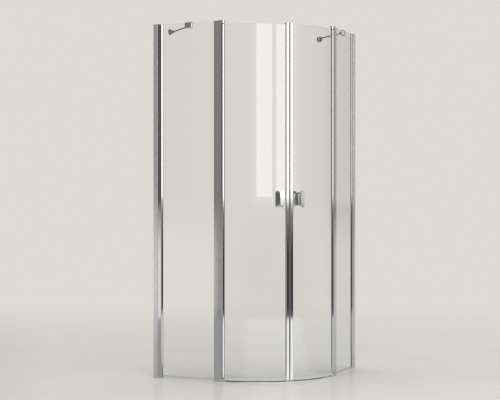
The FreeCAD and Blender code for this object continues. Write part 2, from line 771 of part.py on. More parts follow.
def fixed_glass_gaskets():
    """Channel-shaped seals round both upright edges of the fixed glass."""
    gaskets = []
    edges = [
        ("wall_edge_gasket", WALL_SLOT_FLOOR, PANEL_START, NOSE_MOUTH - S.seal_recess),
        ("post_edge_gasket", END_SLOT_FLOOR, PANEL_END, S.end_profile_from_wall + S.seal_recess),
    ]
    for name, floor, glass_edge, mouth in edges:
        outline = Outline()
        outline.corner(mouth, GLASS - HALF_SLOT)
        outline.corner(floor, GLASS - HALF_SLOT)
        outline.corner(floor, GLASS + HALF_SLOT)
        outline.corner(mouth, GLASS + HALF_SLOT)
        outline.corner(mouth, GLASS + HALF_GLASS)
        outline.corner(glass_edge, GLASS + HALF_GLASS)
        outline.corner(glass_edge, GLASS - HALF_GLASS)
        outline.corner(mouth, GLASS - HALF_GLASS)
        gaskets.append(extrusion(name, PANEL, outline, S.sill_gap, GLASS_TOP))
    return group("left_fixed_glass_gaskets", gaskets)


def fixed_glass_sill():
    """The seal strip that the fixed glass stands in, between the two profiles."""
    half_outside = HALF_GLASS + S.sill_wall
    outline = Outline()
    outline.corner(-half_outside, 0)
    outline.corner(half_outside, 0)
    outline.corner(half_outside, S.sill_height)
    outline.corner(HALF_GLASS, S.sill_height)
    outline.corner(HALF_GLASS, S.sill_gap)
    outline.corner(-HALF_GLASS, S.sill_gap)
    outline.corner(-HALF_GLASS, S.sill_height)
    outline.corner(-half_outside, S.sill_height)
    length = S.end_profile_from_wall - S.wall_profile_end
    middle = (S.end_profile_from_wall + S.wall_profile_end) / 2
    return sideways_extrusion(
        "left_fixed_glass_sill", PANEL, outline, length, "YZ_Plane", middle, GLASS)


def end_profile():
    """The slotted profile on the fixed glass's free edge."""
    outline = Outline()
    outline.corner(END_PROFILE_END, PROFILE_FRONT)
    outline.corner(END_PROFILE_END, PROFILE_BACK)
    outline.corner(S.end_profile_from_wall, PROFILE_BACK, S.edge_round)
    outline.corner(S.end_profile_from_wall, GLASS + HALF_SLOT)
    outline.corner(END_SLOT_FLOOR, GLASS + HALF_SLOT)
    outline.corner(END_SLOT_FLOOR, GLASS - HALF_SLOT)
    outline.corner(S.end_profile_from_wall, GLASS - HALF_SLOT)
    outline.corner(S.end_profile_from_wall, PROFILE_FRONT, S.edge_round)
    return extrusion("left_end_profile", PANEL, outline, 0, GLASS_TOP)


def hinge_profile():
    """The hollow profile with a concave seat that the round stile turns in."""
    seat_half = S.profile_depth / 2
    seat_edge = S.stile_from_wall - root(SEAT_RADIUS * SEAT_RADIUS - seat_half * seat_half)
    outline = Outline()
    outline.corner(END_PROFILE_END, PROFILE_FRONT)
    outline.corner(seat_edge, PROFILE_FRONT)
    outline.arc(seat_edge, PROFILE_BACK, S.stile_from_wall, GLASS, clockwise=True)
    outline.corner(END_PROFILE_END, PROFILE_BACK)
    front = PROFILE_FRONT + S.profile_wall
    back = PROFILE_BACK - S.profile_wall
    web_start = BRACKET_SCREW_X - S.port_web / 2
    web_end = BRACKET_SCREW_X + S.port_web / 2
    seat_wall = S.stile_from_wall - SEAT_RADIUS - S.profile_wall
    chambers = [
        rectangle(END_PROFILE_END + S.profile_wall, front, web_start, back),
        rectangle(web_end, front, seat_wall, back),
    ]
    port = [(BRACKET_SCREW_X, GLASS, S.port_radius + S.screw_clearance)]
    return extrusion(
        "left_hinge_profile", PANEL, outline, S.bracket_height, BRACKET_TOP, chambers, port)


# ---------------------------------------------------------------- pivots

def pivot_bracket(name, bottom, top, outer_side_up):
    """A bracket on the end of the hinge profile that carries the pivot bush."""
    outline = Outline()
    outline.corner(END_PROFILE_END, GLASS - STILE_RADIUS)
    outline.corner(S.stile_from_wall, GLASS - STILE_RADIUS)
    outline.arc(S.stile_from_wall, GLASS + STILE_RADIUS, S.stile_from_wall, GLASS)
    outline.corner(END_PROFILE_END, GLASS + STILE_RADIUS)
    block = extrusion(f"{name}_block", PANEL, outline, bottom, top)
    soften(block, S.bracket_round, outer_side_up)
    bore_depth = S.bush_length + S.bush_relief
    sink = S.bracket_screw_sink
    bore_start = bottom if outer_side_up else top - bore_depth
    sink_start = top - sink if outer_side_up else bottom
    tools = [
        PANEL.drill(f"{name}_bore", S.stile_from_wall, GLASS, bore_start,
                    BUSH_RADIUS + S.running_gap, bore_depth),
        PANEL.drill(f"{name}_screw_hole", BRACKET_SCREW_X, GLASS, bottom,
                    S.port_radius + 2 * S.screw_clearance, S.bracket_height),
        PANEL.drill(f"{name}_screw_sink", BRACKET_SCREW_X, GLASS, sink_start,
                    S.bracket_screw_head + S.screw_clearance, sink),
    ]
    return cut(name, block, tools)


def bracket_screws():
    """One screw through each bracket into the port of the hinge profile."""
    screws = []
    head_height = S.bracket_screw_sink - S.screw_clearance * 2
    seats = [
        ("top", S.post_height - S.bracket_screw_sink, V(0, 0, -1), UP, False),
        ("bottom", S.bracket_screw_sink, UP, V(0, 0, -1), True),
    ]
    for name, seat, shank_way, head_way, is_bottom in seats:
        shank = PANEL.drill(f"{name}_screw_shank", BRACKET_SCREW_X, GLASS, seat,
                            S.port_radius, S.bracket_screw_length, shank_way)
        head = PANEL.drill(f"{name}_screw_head", BRACKET_SCREW_X, GLASS, seat,
                           S.bracket_screw_head, head_height, head_way)
        socket_start = seat - head_height if is_bottom else seat + head_height - S.hex_depth
        hexagon = socket(f"{name}_screw_socket", BRACKET_SCREW_X, GLASS, socket_start)
        whole = fuse(f"{name}_screw_blank", [shank, head])
        screws.append(cut(f"{name}_bracket_screw", whole, [hexagon]))
    return screws


def pivot_bushes():
    """Flanged bushes in the brackets; the flange fills the gap to the stile's plate."""
    ends = [
        ("top", BRACKET_TOP, UP, V(0, 0, -1), S.upper_pivot_gap - S.moving_gap),
        ("bottom", S.bracket_height, V(0, 0, -1), UP, S.lower_pivot_gap - S.moving_gap),
    ]
    bushes = []
    for name, face, sleeve_way, flange_way, flange_height in ends:
        sleeve = STILE.drill(f"{name}_bush_sleeve", 0, 0, face, BUSH_RADIUS,
                             S.bush_length, sleeve_way)
        collar = STILE.drill(f"{name}_bush_collar", 0, 0, face, BUSH_RADIUS + S.bush_flange,
                             flange_height, flange_way)
        hole = STILE.drill(f"{name}_bush_bore", 0, 0, face - S.bush_length * 2,
                           S.pivot_radius + S.running_gap, S.bush_length * 4)
        bushes.append(cut(f"{name}_pivot_bush", fuse(f"{name}_bush_blank", [sleeve, collar]),
                          [hole]))
    return bushes


def pivot_pins():
    """Plates on the stile's ends, each with the pivot pin and a dowel for the stile's port."""
    plate_radius = STILE_RADIUS - S.screw_clearance
    dowel_radius = S.port_radius - S.running_gap
    ends = [
        ("top", DOOR_TOP, UP, V(0, 0, -1)),
        ("bottom", DOOR_BOTTOM, V(0, 0, -1), UP),
    ]
    pins = []
    for name, face, outwards, inwards in ends:
        plate = STILE.drill(f"{name}_pivot_plate", 0, 0, face, plate_radius,
                            S.pivot_plate, outwards)
        pin = STILE.drill(f"{name}_pivot_stem", 0, 0, face, S.pivot_radius,
                          S.pivot_plate + S.pivot_length, outwards)
        dowel = STILE.drill(f"{name}_pivot_dowel", -S.stile_port_offset, 0, face,
                            dowel_radius, S.dowel_length, inwards)
        pins.append(fuse(f"{name}_pivot_pin", [plate, pin, dowel]))
    return group("left_pivot_pins", pins)


# ---------------------------------------------------------------- door

def door_stile():
    """The round stile, with a slot for the door glass and a screw port behind it."""
    outline = Outline()
    outline.corner(-S.stile_slot_back, HALF_SLOT)
    outline.corner(STILE_MOUTH, HALF_SLOT)
    outline.arc(-STILE_RADIUS, 0, 0, 0)
    outline.arc(STILE_MOUTH, -HALF_SLOT, 0, 0)
    outline.corner(-S.stile_slot_back, -HALF_SLOT)
    port = [(-S.stile_port_offset, 0, S.port_radius)]
    return extrusion("left_door_stile", STILE, outline, DOOR_BOTTOM, DOOR_TOP, (), port)


def glass_angles():
    """Where the door glass starts and ends on its arc, in degrees."""
    start = arc_sine((S.seal_floor - S.stile_slot_back) / ARC_RADIUS) + FRONTWARDS
    end = -(DIAGONAL + arc_sine(-CLOSING_GLASS_END / ARC_RADIUS))
    return start, end


def glass_space(name, bottom, top, slack):
    """The curved glass's own shape, grown by a slack on both faces."""
    start, end = glass_angles()
    outline = ring_sector(
        ARC_RADIUS - HALF_GLASS - slack, ARC_RADIUS + HALF_GLASS + slack, start, end)
    return extrusion(name, ARC, outline, bottom, top)


def stud_rods(name, radius):
    """Rods along both handle studs, right through the glass and the seals."""
    half = HALF_GLASS + S.handle_seal + S.overcut
    rods = []
    for number, sign in enumerate((-1, 1)):
        height = S.handle_height + S.stud_spacing / 2 * sign
        rods.append(HANDLE.drill(f"{name}_{number}", 0, -half, height, radius,
                                 half * 2, V(0, 1, 0)))
    return rods


def door_glass():
    """The curved door glass, drilled for the handles."""
    blank = grind(glass_space("door_glass_blank", DOOR_BOTTOM, DOOR_TOP, 0))
    return cut("left_door_glass", blank, stud_rods("glass_hole", S.glass_hole_radius))


def stile_gasket():
    """The seal between the stile's slot and the door glass."""
    radius = STILE_RADIUS - S.screw_clearance
    mouth = root(radius * radius - HALF_SLOT * HALF_SLOT)
    outline = Outline()
    outline.corner(-S.stile_slot_back, -HALF_SLOT)
    outline.corner(mouth, -HALF_SLOT)
    outline.arc(mouth, HALF_SLOT, 0, 0)
    outline.corner(-S.stile_slot_back, HALF_SLOT)
    block = extrusion("stile_gasket_block", STILE, outline, DOOR_BOTTOM, DOOR_TOP)
    space = glass_space("stile_gasket_space", DOOR_BOTTOM - S.overcut,
                        DOOR_TOP + S.overcut, S.running_gap)
    return cut("left_stile_gasket", block, [space])


def closing_outline():
    """The outside of the closing profile, seen from above."""
    half = S.closing_depth / 2
    return rectangle(CLOSING_BACK, -half, CLOSING_FRONT, half, S.closing_round)


def closing_profile():
    """The rounded profile on the door's free edge, with a glass slot and a magnet seat."""
    half = S.closing_depth / 2
    seat_half = S.magnet_width / 2
    seat_floor = CLOSING_FRONT - S.magnet_seat
    outline = Outline()
    outline.corner(CLOSING_BACK, -half, S.closing_round)
    outline.corner(CLOSING_FRONT, -half, S.closing_round)
    outline.corner(CLOSING_FRONT, -seat_half)
    outline.corner(seat_floor, -seat_half)
    outline.corner(seat_floor, seat_half)
    outline.corner(CLOSING_FRONT, seat_half)
    outline.corner(CLOSING_FRONT, half, S.closing_round)
    outline.corner(CLOSING_BACK, half, S.closing_round)
    outline.corner(CLOSING_BACK, HALF_SLOT)
    outline.corner(CLOSING_SLOT_FLOOR, HALF_SLOT)
    outline.corner(CLOSING_SLOT_FLOOR, -HALF_SLOT)
    outline.corner(CLOSING_BACK, -HALF_SLOT)
    return extrusion("left_closing_profile", MEETING, outline, PROFILE_BOTTOM, PROFILE_TOP)


def closing_gasket():
    """The seal between the closing profile's slot and the door glass."""
    outline = rectangle(
        CLOSING_BACK + S.seal_recess, -HALF_SLOT, CLOSING_SLOT_FLOOR, HALF_SLOT)
    block = extrusion(
        "closing_gasket_block", MEETING, outline, PROFILE_BOTTOM, PROFILE_TOP)
    space = glass_space("closing_gasket_space", DOOR_BOTTOM, DOOR_TOP, S.running_gap)
    return cut("left_closing_gasket", block, [space])


def magnet_strip():
    """The magnet strip, with a rounded front, that meets the other door's."""
    half = S.magnet_width / 2
    front = -S.meeting_gap
    outline = Outline()
    outline.corner(CLOSING_FRONT - S.magnet_seat, -half)
    outline.corner(front, -half, S.magnet_round)
    outline.corner(front, half, S.magnet_round)
    outline.corner(CLOSING_FRONT - S.magnet_seat, half)
    return extrusion("left_magnet_strip", MEETING, outline, PROFILE_BOTTOM, PROFILE_TOP)


def closing_caps():
    """End caps above and below the closing profile."""
    lower = extrusion("lower_closing_cap", MEETING, closing_outline(),
                      CLOSING_BOTTOM, PROFILE_BOTTOM)
    upper = extrusion("upper_closing_cap", MEETING, closing_outline(),
                      PROFILE_TOP, CLOSING_TOP)
    soften(lower, S.cap_round, highest=False)
    soften(upper, S.cap_round)
    return group("left_closing_caps", [lower, upper])


def drip_seal():
    """The door's bottom seal: a clip round the glass edge and a fin over the threshold."""
    half_outside = HALF_GLASS + S.drip_clip_wall
    half_fin = S.drip_fin / 2
    clip_top = DOOR_BOTTOM + S.drip_clip_height
    web = DOOR_BOTTOM - S.drip_clip_wall
    fin_end = S.threshold_height + S.drip_clearance
    outline = Outline()
    outline.corner(ARC_RADIUS - half_outside, clip_top)
    outline.corner(ARC_RADIUS - half_outside, web)
    outline.corner(ARC_RADIUS - half_fin, web)
    outline.corner(ARC_RADIUS - half_fin, fin_end)
    outline.corner(ARC_RADIUS + half_fin, fin_end)
    outline.corner(ARC_RADIUS + half_fin, web)
    outline.corner(ARC_RADIUS + half_outside, web)
    outline.corner(ARC_RADIUS + half_outside, clip_top)
    outline.corner(ARC_RADIUS + HALF_GLASS, clip_top)
    outline.corner(ARC_RADIUS + HALF_GLASS, DOOR_BOTTOM)
    outline.corner(ARC_RADIUS - HALF_GLASS, DOOR_BOTTOM)
    outline.corner(ARC_RADIUS - HALF_GLASS, clip_top)
    start = arc_sine(S.drip_start / ARC_RADIUS) + FRONTWARDS
    end = -(DIAGONAL + arc_sine((S.moving_gap - CLOSING_BACK) / ARC_RADIUS))
    return swept_round("left_drip_seal", outline, (start + end) / 2, end - start)


# ---------------------------------------------------------------- handles

def handle(name, frame):
    """A waisted handle: foot on the glass, narrow neck, and a grip with a softened front."""
    foot = HALF_GLASS + S.handle_seal
    grip_front = foot + S.handle_reach
    grip_back = grip_front - S.grip_thickness
    waist = foot + (grip_back - foot) / 2
    stations = [
        ("foot", foot, S.foot_width, S.foot_length),
        ("waist", waist, S.waist_width, S.waist_length),
        ("grip", grip_back, S.grip_width - S.grip_bevel, S.grip_length - S.grip_bevel),
        ("rim", grip_front - S.grip_bevel, S.grip_width, S.grip_length),
        ("front", grip_front, S.grip_width - S.grip_bevel, S.grip_length - S.grip_bevel),
    ]
    body = new_body(f"{name}_blank")
    sketches = []
    for label, reach, width, length in stations:
        sketch = new_sketch(body, f"{name}_{label}", "XZ_Plane", reach)
        draw(sketch, stadium(width, length), "outline")
        sketches.append(sketch)
    loft = body.newObject("PartDesign::AdditiveLoft", f"{name}_loft")
    loft.Profile = sketches[0]
    loft.Sections = sketches[1:]
    frame.place(body, S.handle_height)
    bores = []
    for number, sign in enumerate((-1, 1)):
        height = S.handle_height + S.stud_spacing / 2 * sign
        bores.append(frame.drill(f"{name}_bore_{number}", 0, 0, height,
                                 S.stud_radius + S.screw_clearance,
                                 foot + S.stud_depth + S.overcut, V(0, -1, 0)))
    return cut(name, body, bores)


def handle_gaskets():
    """A thin seal under each handle's foot, hollowed to the curved glass."""
    foot = HALF_GLASS + S.handle_seal
    space = glass_space("handle_gasket_space", S.handle_height - S.foot_length,
                        S.handle_height + S.foot_length, S.running_gap)
    gaskets = []
    for name, frame in (("outer_gasket", HANDLE), ("inner_gasket", INNER_HANDLE)):
        body = new_body(f"{name}_pad")
        sketch = new_sketch(body, f"{name}_outline", "XZ_Plane")
        draw(sketch, stadium(S.foot_width, S.foot_length), "outline")
        pad = body.newObject("PartDesign::Pad", f"{name}_thickness")
        pad.Profile = sketch
        pad.setExpression("Length", foot.formula)
        frame.place(body, S.handle_height)
        rods = stud_rods(f"{name}_hole", S.stud_radius + S.screw_clearance)
        gaskets.append(cut(name, body, [space] + rods))
    return group("left_handle_gaskets", gaskets)


def handle_studs():
    """Studs through the glass that join the outer and the inner handle."""
    half = HALF_GLASS + S.handle_seal + S.stud_depth
    studs = []
    for number, sign in enumerate((-1, 1)):
        height = S.handle_height + S.stud_spacing / 2 * sign
        studs.append(HANDLE.drill(f"stud_{number}", 0, -half, height, S.stud_radius,
                                  half * 2, V(0, 1, 0)))
    return group("left_handle_studs", studs)


# ---------------------------------------------------------------- threshold

def threshold_section(rise):
    """Low ramped section of the threshold strip, as radius against height."""
    half = S.threshold_width / 2
    crown = S.threshold_crown / 2
    outline = Outline()
    outline.corner(ARC_RADIUS - half, 0)
    outline.corner(ARC_RADIUS + half, 0)
    outline.corner(ARC_RADIUS + half, S.threshold_lip + rise)
    outline.corner(ARC_RADIUS + crown, S.threshold_height + rise)
    outline.corner(ARC_RADIUS - crown, S.threshold_height + rise)
    outline.corner(ARC_RADIUS - half, S.threshold_lip + rise)
    return outline


def threshold_angles():
    """Angles from the pivot axis to both ends of the threshold's end piece."""
    clear = STILE_RADIUS + S.moving_gap
    near = arc_sine(clear / ARC_RADIUS)
    far = arc_sine((clear + S.threshold_cap_length) / ARC_RADIUS)
    return near, far


def threshold_strip():
    _, far = threshold_angles()
    return swept_round("threshold_strip", threshold_section(0), as_size(-DIAGONAL),
                       2 * (DIAGONAL - far))


def threshold_end():
    near, far = threshold_angles()
    return swept_round("threshold_end", threshold_section(S.threshold_cap_rise),
                       (near + far) / 2 + FRONTWARDS, far - near)


# ---------------------------------------------------------------- bracing

def fork(name, root_x, root_y, pivot_x, pivot_y, along_x):
    """Two ears with round ends about an upright pivot."""
    ears = []
    for label, bottom in (("lower", -FORK_HEIGHT), ("upper", S.fork_gap / 2)):
        outline = Outline()
        if along_x:
            outline.corner(root_x, pivot_y - S.knuckle_radius)
            outline.corner(pivot_x, pivot_y - S.knuckle_radius)
            outline.arc(pivot_x, pivot_y + S.knuckle_radius, pivot_x, pivot_y)
            outline.corner(root_x, pivot_y + S.knuckle_radius)
        else:
            outline.corner(pivot_x - S.knuckle_radius, root_y)
            outline.corner(pivot_x + S.knuckle_radius, root_y)
            outline.corner(pivot_x + S.knuckle_radius, pivot_y)
            outline.arc(pivot_x - S.knuckle_radius, pivot_y, pivot_x, pivot_y)
        low = BRACE_HEIGHT + bottom
        ears.append(extrusion(f"{name}_{label}_ear", PANEL, outline, low, low + S.fork_ear))
    return ears


def fork_bore(name, x, y):
    return PANEL.drill(name, x, y, BRACE_HEIGHT - FORK_HEIGHT - S.overcut,
                       S.brace_pin_radius + S.screw_clearance,
                       2 * (FORK_HEIGHT + S.overcut))


def clamp_screw_places():
    half = S.clamp_screw_spread / 2
    return [S.clamp_from_wall - half, S.clamp_from_wall + half]


def brace_clamp():
    """The clamp over the top edge of the fixed glass, with the fork for the rod."""
    inside_top = GLASS_TOP + S.clamp_pad
    front_inside = CLAMP_FRONT + S.clamp_jaw
    back_inside = CLAMP_BACK - S.clamp_jaw
    rim = S.clamp_jaw / 2
    outline = Outline()
    outline.corner(CLAMP_FRONT - GLASS, CLAMP_BOTTOM)
    outline.corner(front_inside - GLASS, CLAMP_BOTTOM)
    outline.corner(front_inside - GLASS, inside_top)
    outline.corner(back_inside - GLASS, inside_top)
    outline.corner(back_inside - GLASS, CLAMP_BOTTOM)
    outline.corner(CLAMP_BACK - GLASS, CLAMP_BOTTOM)
    outline.corner(CLAMP_BACK - GLASS, CLAMP_TOP, rim)
    outline.corner(CLAMP_FRONT - GLASS, CLAMP_TOP, rim)
    saddle = sideways_extrusion("clamp_saddle", PANEL, outline, S.clamp_width, "YZ_Plane",
                                S.clamp_from_wall, GLASS)
    half = S.clamp_width / 2
    face = rectangle(-half, CLAMP_BOTTOM, half, CLAMP_TOP, S.clamp_round)
    plate = sideways_extrusion("clamp_face", PANEL, face, CHANNEL_DEPTH * 2, "XZ_Plane",
                               S.clamp_from_wall, GLASS)
    rounded = doc.addObject("Part::Common", "clamp_rounded")
    rounded.Base = saddle
    rounded.Tool = plate
    ears = fork("clamp", 0, CLAMP_BACK - S.clamp_jaw / 2, S.clamp_from_wall,
                CLAMP_PIVOT_Y, False)
    tools = [fork_bore("clamp_fork_bore", S.clamp_from_wall, CLAMP_PIVOT_Y)]
    for number, x in enumerate(clamp_screw_places()):
        tools.append(PANEL.drill(f"clamp_screw_hole_{number}", x, back_inside - S.overcut,
                                 CLAMP_BOTTOM + S.clamp_screw_rise,
                                 S.clamp_screw_radius + S.screw_clearance,
                                 S.clamp_jaw + 2 * S.overcut, V(0, 1, 0)))
    return cut("left_brace_clamp", fuse("clamp_blank", [rounded] + ears), tools)


def clamp_pad():
    """The pad folded over the glass edge under the clamp."""
    outside = HALF_GLASS + S.clamp_pad
    outline = Outline()
    outline.corner(-outside, CLAMP_BOTTOM)
    outline.corner(-HALF_GLASS, CLAMP_BOTTOM)
    outline.corner(-HALF_GLASS, GLASS_TOP)
    outline.corner(HALF_GLASS, GLASS_TOP)
    outline.corner(HALF_GLASS, CLAMP_BOTTOM)
    outline.corner(outside, CLAMP_BOTTOM)
    outline.corner(outside, GLASS_TOP + S.clamp_pad)
    outline.corner(-outside, GLASS_TOP + S.clamp_pad)
    width = S.clamp_width - 2 * S.clamp_round
    return sideways_extrusion("clamp_pad", PANEL, outline, width, "YZ_Plane",
                              S.clamp_from_wall, GLASS)


def brace_screws():
    """The pivot screws of both forks and the two screws that tighten the clamp."""
    screws = []
    pivots = [
        ("clamp_pivot", S.clamp_from_wall, CLAMP_PIVOT_Y),
        ("rosette_pivot", S.rosette_pivot, ROSETTE_Y),
    ]
    top = BRACE_HEIGHT + FORK_HEIGHT
    for name, x, y in pivots:
        shank = PANEL.drill(f"{name}_shank", x, y, top - 2 * FORK_HEIGHT,
                            S.brace_pin_radius, 2 * FORK_HEIGHT)
        head = PANEL.drill(f"{name}_head", x, y, top, S.brace_pin_head,
                           S.brace_pin_head_height)
        hexagon = socket(f"{name}_socket", x, y,
                         top + S.brace_pin_head_height - S.hex_depth)
        screws.append(cut(f"{name}_screw", fuse(f"{name}_blank", [shank, head]), [hexagon]))
    for number, x in enumerate(clamp_screw_places()):
        screws.append(PANEL.drill(f"clamp_screw_{number}", x, CLAMP_BACK - S.clamp_jaw,
                                  CLAMP_BOTTOM + S.clamp_screw_rise, S.clamp_screw_radius,
                                  S.clamp_jaw + S.clamp_screw_proud, V(0, 1, 0)))
    return screws


def brace_rod():
    """The bracing rod at 45 degrees between its two eyes."""
    eyes = []
    bores = []
    bottom = BRACE_HEIGHT - S.eye_thickness / 2
    places = [
        ("clamp_eye", S.clamp_from_wall, CLAMP_PIVOT_Y),
        ("rosette_eye", S.rosette_pivot, ROSETTE_Y),
    ]
    for name, x, y in places:
        eyes.append(PANEL.drill(name, x, y, bottom, S.eye_radius, S.eye_thickness))
        bores.append(PANEL.drill(f"{name}_bore", x, y, bottom - S.overcut,
                                 S.brace_pin_radius + S.screw_clearance,
                                 S.eye_thickness + 2 * S.overcut))
    # The rod runs on the diagonal and ends inside the rims of both eyes.
    rod_start = S.eye_radius - S.rod_inset
    step = rod_start / root(as_size(2))
    length = BRACE_RUN * root(as_size(2)) - 2 * rod_start
    rod = PANEL.drill("brace_bar", S.clamp_from_wall - step, CLAMP_PIVOT_Y + step,
                      BRACE_HEIGHT, S.rod_radius, length, V(-1, 1, 0))
    return cut("left_brace_rod", fuse("brace_blank", eyes + [rod]), bores)


def brace_rosette():
    """The round wall plate of the brace, with its fork and two screw holes."""
    plate = PANEL.drill("rosette_plate", 0, ROSETTE_Y, BRACE_HEIGHT,
                        S.rosette_radius, S.rosette_thickness, V(1, 0, 0))
    ears = fork("rosette", S.rosette_thickness / 2, 0, S.rosette_pivot, ROSETTE_Y, True)
    tools = [fork_bore("rosette_fork_bore", S.rosette_pivot, ROSETTE_Y)]
    for number, sign in enumerate((-1, 1)):
        height = BRACE_HEIGHT + S.rosette_hole_spacing / 2 * sign
        tools.append(PANEL.drill(f"rosette_hole_{number}", -S.rosette_thickness, ROSETTE_Y,
                                 height, S.rosette_hole_radius, 3 * S.rosette_thickness,
                                 V(1, 0, 0)))
    return cut("left_brace_rosette", fuse("rosette_blank", [plate] + ears), tools)


# ---------------------------------------------------------------- the whole enclosure

keep_pair(wall_channel(), "wall_channel")
keep_pair(wall_profile(), "wall_profile")
keep_pair(fixed_glass(), "fixed_glass")
keep_pair(fixed_glass_gaskets(), "fixed_glass_gaskets")
keep_pair(fixed_glass_sill(), "fixed_glass_sill")
keep_pair(end_profile(), "end_profile")
keep_pair(hinge_profile(), "hinge_profile")
keep_pair(pivot_bracket("left_top_bracket", BRACKET_TOP, S.post_height, True), "top_bracket")
keep_pair(pivot_bracket("left_bottom_bracket", as_size(0), S.bracket_height, False),
          "bottom_bracket")
keep_pair(pivot_pins(), "pivot_pins")
keep_pair(door_stile(), "door_stile")
keep_pair(stile_gasket(), "stile_gasket")
keep_pair(door_glass(), "door_glass")
keep_pair(closing_profile(), "closing_profile")
keep_pair(closing_gasket(), "closing_gasket")
keep_pair(magnet_strip(), "magnet_strip")
keep_pair(closing_caps(), "closing_caps")
keep_pair(drip_seal(), "drip_seal")
keep_pair(handle("left_outer_handle", HANDLE), "outer_handle")
keep_pair(handle("left_inner_handle", INNER_HANDLE), "inner_handle")
keep_pair(handle_gaskets(), "handle_gaskets")
keep_pair(handle_studs(), "handle_studs")
keep_pair(brace_clamp(), "brace_clamp")
keep_pair(brace_rod(), "brace_rod")
keep_pair(brace_rosette(), "brace_rosette")
keep_shared("profile_caps", profile_caps())
keep_shared("adjusting_screws", adjusting_screws())
keep_shared("bracket_screws", bracket_screws())
keep_shared("pivot_bushes", pivot_bushes())
keep_shared("brace_screws", brace_screws())
keep_shared("brace_clamp_pads", [clamp_pad()])
keep_shared("threshold_ends", [threshold_end()])
keep(threshold_strip())

doc.recompute()

for item in doc.Objects:
    if "Invalid" in item.State or "Error" in item.State:
        raise RuntimeError(f"{item.Label} did not build: {item.State}")
for piece in SUBPARTS:
    if piece.Shape.isNull() or not piece.Shape.isValid():
        raise RuntimeError(f"{piece.Label} has no sound shape")

os.makedirs("parts", exist_ok=True)
for piece in SUBPARTS:
    piece.Shape.exportStep(f"parts/{piece.Label}.step")
    print(f"{piece.Label}: {len(piece.Shape.Solids)} solids, {piece.Shape.Volume / 1000:.2f} cm3")
print(f"{len(SUBPARTS)} sub-parts")
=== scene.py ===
"""Looks for a quadrant shower enclosure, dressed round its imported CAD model.

Metres, +Z up, in the CAD model's own frame.  The two walls are the planes of the lowest X
and the highest Y, and the doors bulge towards +X -Y.  Every shape is worked out for the
left-hand side, and its right-hand twin is the mirror image in the upright diagonal plane,
which takes (x, y) to (-y, -x).
"""

import json
import logging
import math
from dataclasses import dataclass
from enum import Enum
from typing import Sequence

import bpy
import numpy as np
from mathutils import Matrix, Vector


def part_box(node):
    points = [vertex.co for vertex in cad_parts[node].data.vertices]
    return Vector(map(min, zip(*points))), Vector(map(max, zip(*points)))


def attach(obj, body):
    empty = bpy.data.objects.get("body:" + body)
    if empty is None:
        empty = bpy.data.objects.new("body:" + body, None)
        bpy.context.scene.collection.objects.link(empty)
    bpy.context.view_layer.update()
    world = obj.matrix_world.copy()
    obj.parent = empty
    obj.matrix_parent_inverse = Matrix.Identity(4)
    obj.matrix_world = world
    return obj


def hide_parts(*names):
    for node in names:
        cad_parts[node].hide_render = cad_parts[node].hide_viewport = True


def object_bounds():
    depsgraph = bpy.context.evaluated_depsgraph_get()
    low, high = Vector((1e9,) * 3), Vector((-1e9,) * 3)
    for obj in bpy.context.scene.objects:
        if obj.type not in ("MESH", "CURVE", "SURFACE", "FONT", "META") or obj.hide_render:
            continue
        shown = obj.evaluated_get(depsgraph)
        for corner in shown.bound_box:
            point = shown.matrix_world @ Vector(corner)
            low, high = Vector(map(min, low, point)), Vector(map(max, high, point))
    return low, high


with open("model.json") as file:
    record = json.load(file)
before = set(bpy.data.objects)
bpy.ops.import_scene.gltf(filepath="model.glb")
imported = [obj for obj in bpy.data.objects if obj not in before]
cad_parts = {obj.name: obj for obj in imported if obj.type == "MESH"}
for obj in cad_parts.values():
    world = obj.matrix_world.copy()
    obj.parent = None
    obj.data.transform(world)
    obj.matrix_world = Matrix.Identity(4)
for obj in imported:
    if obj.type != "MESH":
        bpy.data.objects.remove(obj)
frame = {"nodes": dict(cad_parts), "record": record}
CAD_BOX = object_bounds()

LOG = logging.getLogger("enclosure")
UP = np.array([0.0, 0.0, 1.0])
TWIN = np.array([[0, -1, 0], [-1, 0, 0], [0, 0, 1]], float)  # the diagonal mirror
CIRCLE = np.radians(np.arange(0, 360, 5))  # corners of the floor and of the ring of cards
DIAGONAL = 45.0  # degrees from straight in front to where the doors meet
WELD = 1e-7  # metres within which two points are one
SMOOTH_DOT = 0.9995  # cosine of the largest bend that is still smooth
GRAIN_DEPTH = 0.0002  # metres that a bump of full height stands

Colour = tuple[float, float, float]
Span = tuple[float, float]
Socket = bpy.types.NodeSocket


class Side(Enum):
    """Which half of the enclosure a piece belongs to."""

    LEFT = "left"
    RIGHT = "right"


class Body(Enum):
    """The CAD bodies that pieces ride on."""

    FIXED = "enclosure"
    LEFT_DOOR = "left_door"
    RIGHT_DOOR = "right_door"

    @staticmethod
    def door(side: Side) -> "Body":
        """The door body of a side."""
        return Body.LEFT_DOOR if side is Side.LEFT else Body.RIGHT_DOOR


class Slot(Enum):
    """The record's material slots."""

    PROFILE = "bright_profile"
    CHROME = "chrome"
    STEEL = "steel"
    GLASS = "clear_glass"
    CAP = "silver_cap"
    SEAL = "clear_seal"
    GASKET = "grey_gasket"
    MAGNET = "magnet_seal"
    BUSH = "bush_plastic"


# ---------------------------------------------------------------- profiles

@dataclass(frozen=True)
class Chain:
    """A smooth stretch of a profile: its points and the outward direction at each."""

    points: np.ndarray
    normals: np.ndarray


def line(start: Sequence[float], end: Sequence[float]) -> Chain:
    """A straight stretch; outwards is a quarter turn clockwise from the way it runs.

    Args:
        start: first point, x and y.
        end: last point, x and y.

    Returns:
        The stretch.
    """
    points = np.array([start, end], float)
    way = (points[1] - points[0]) / np.linalg.norm(points[1] - points[0])
    outwards = np.array([way[1], -way[0]])
    return Chain(points, np.array([outwards, outwards]))


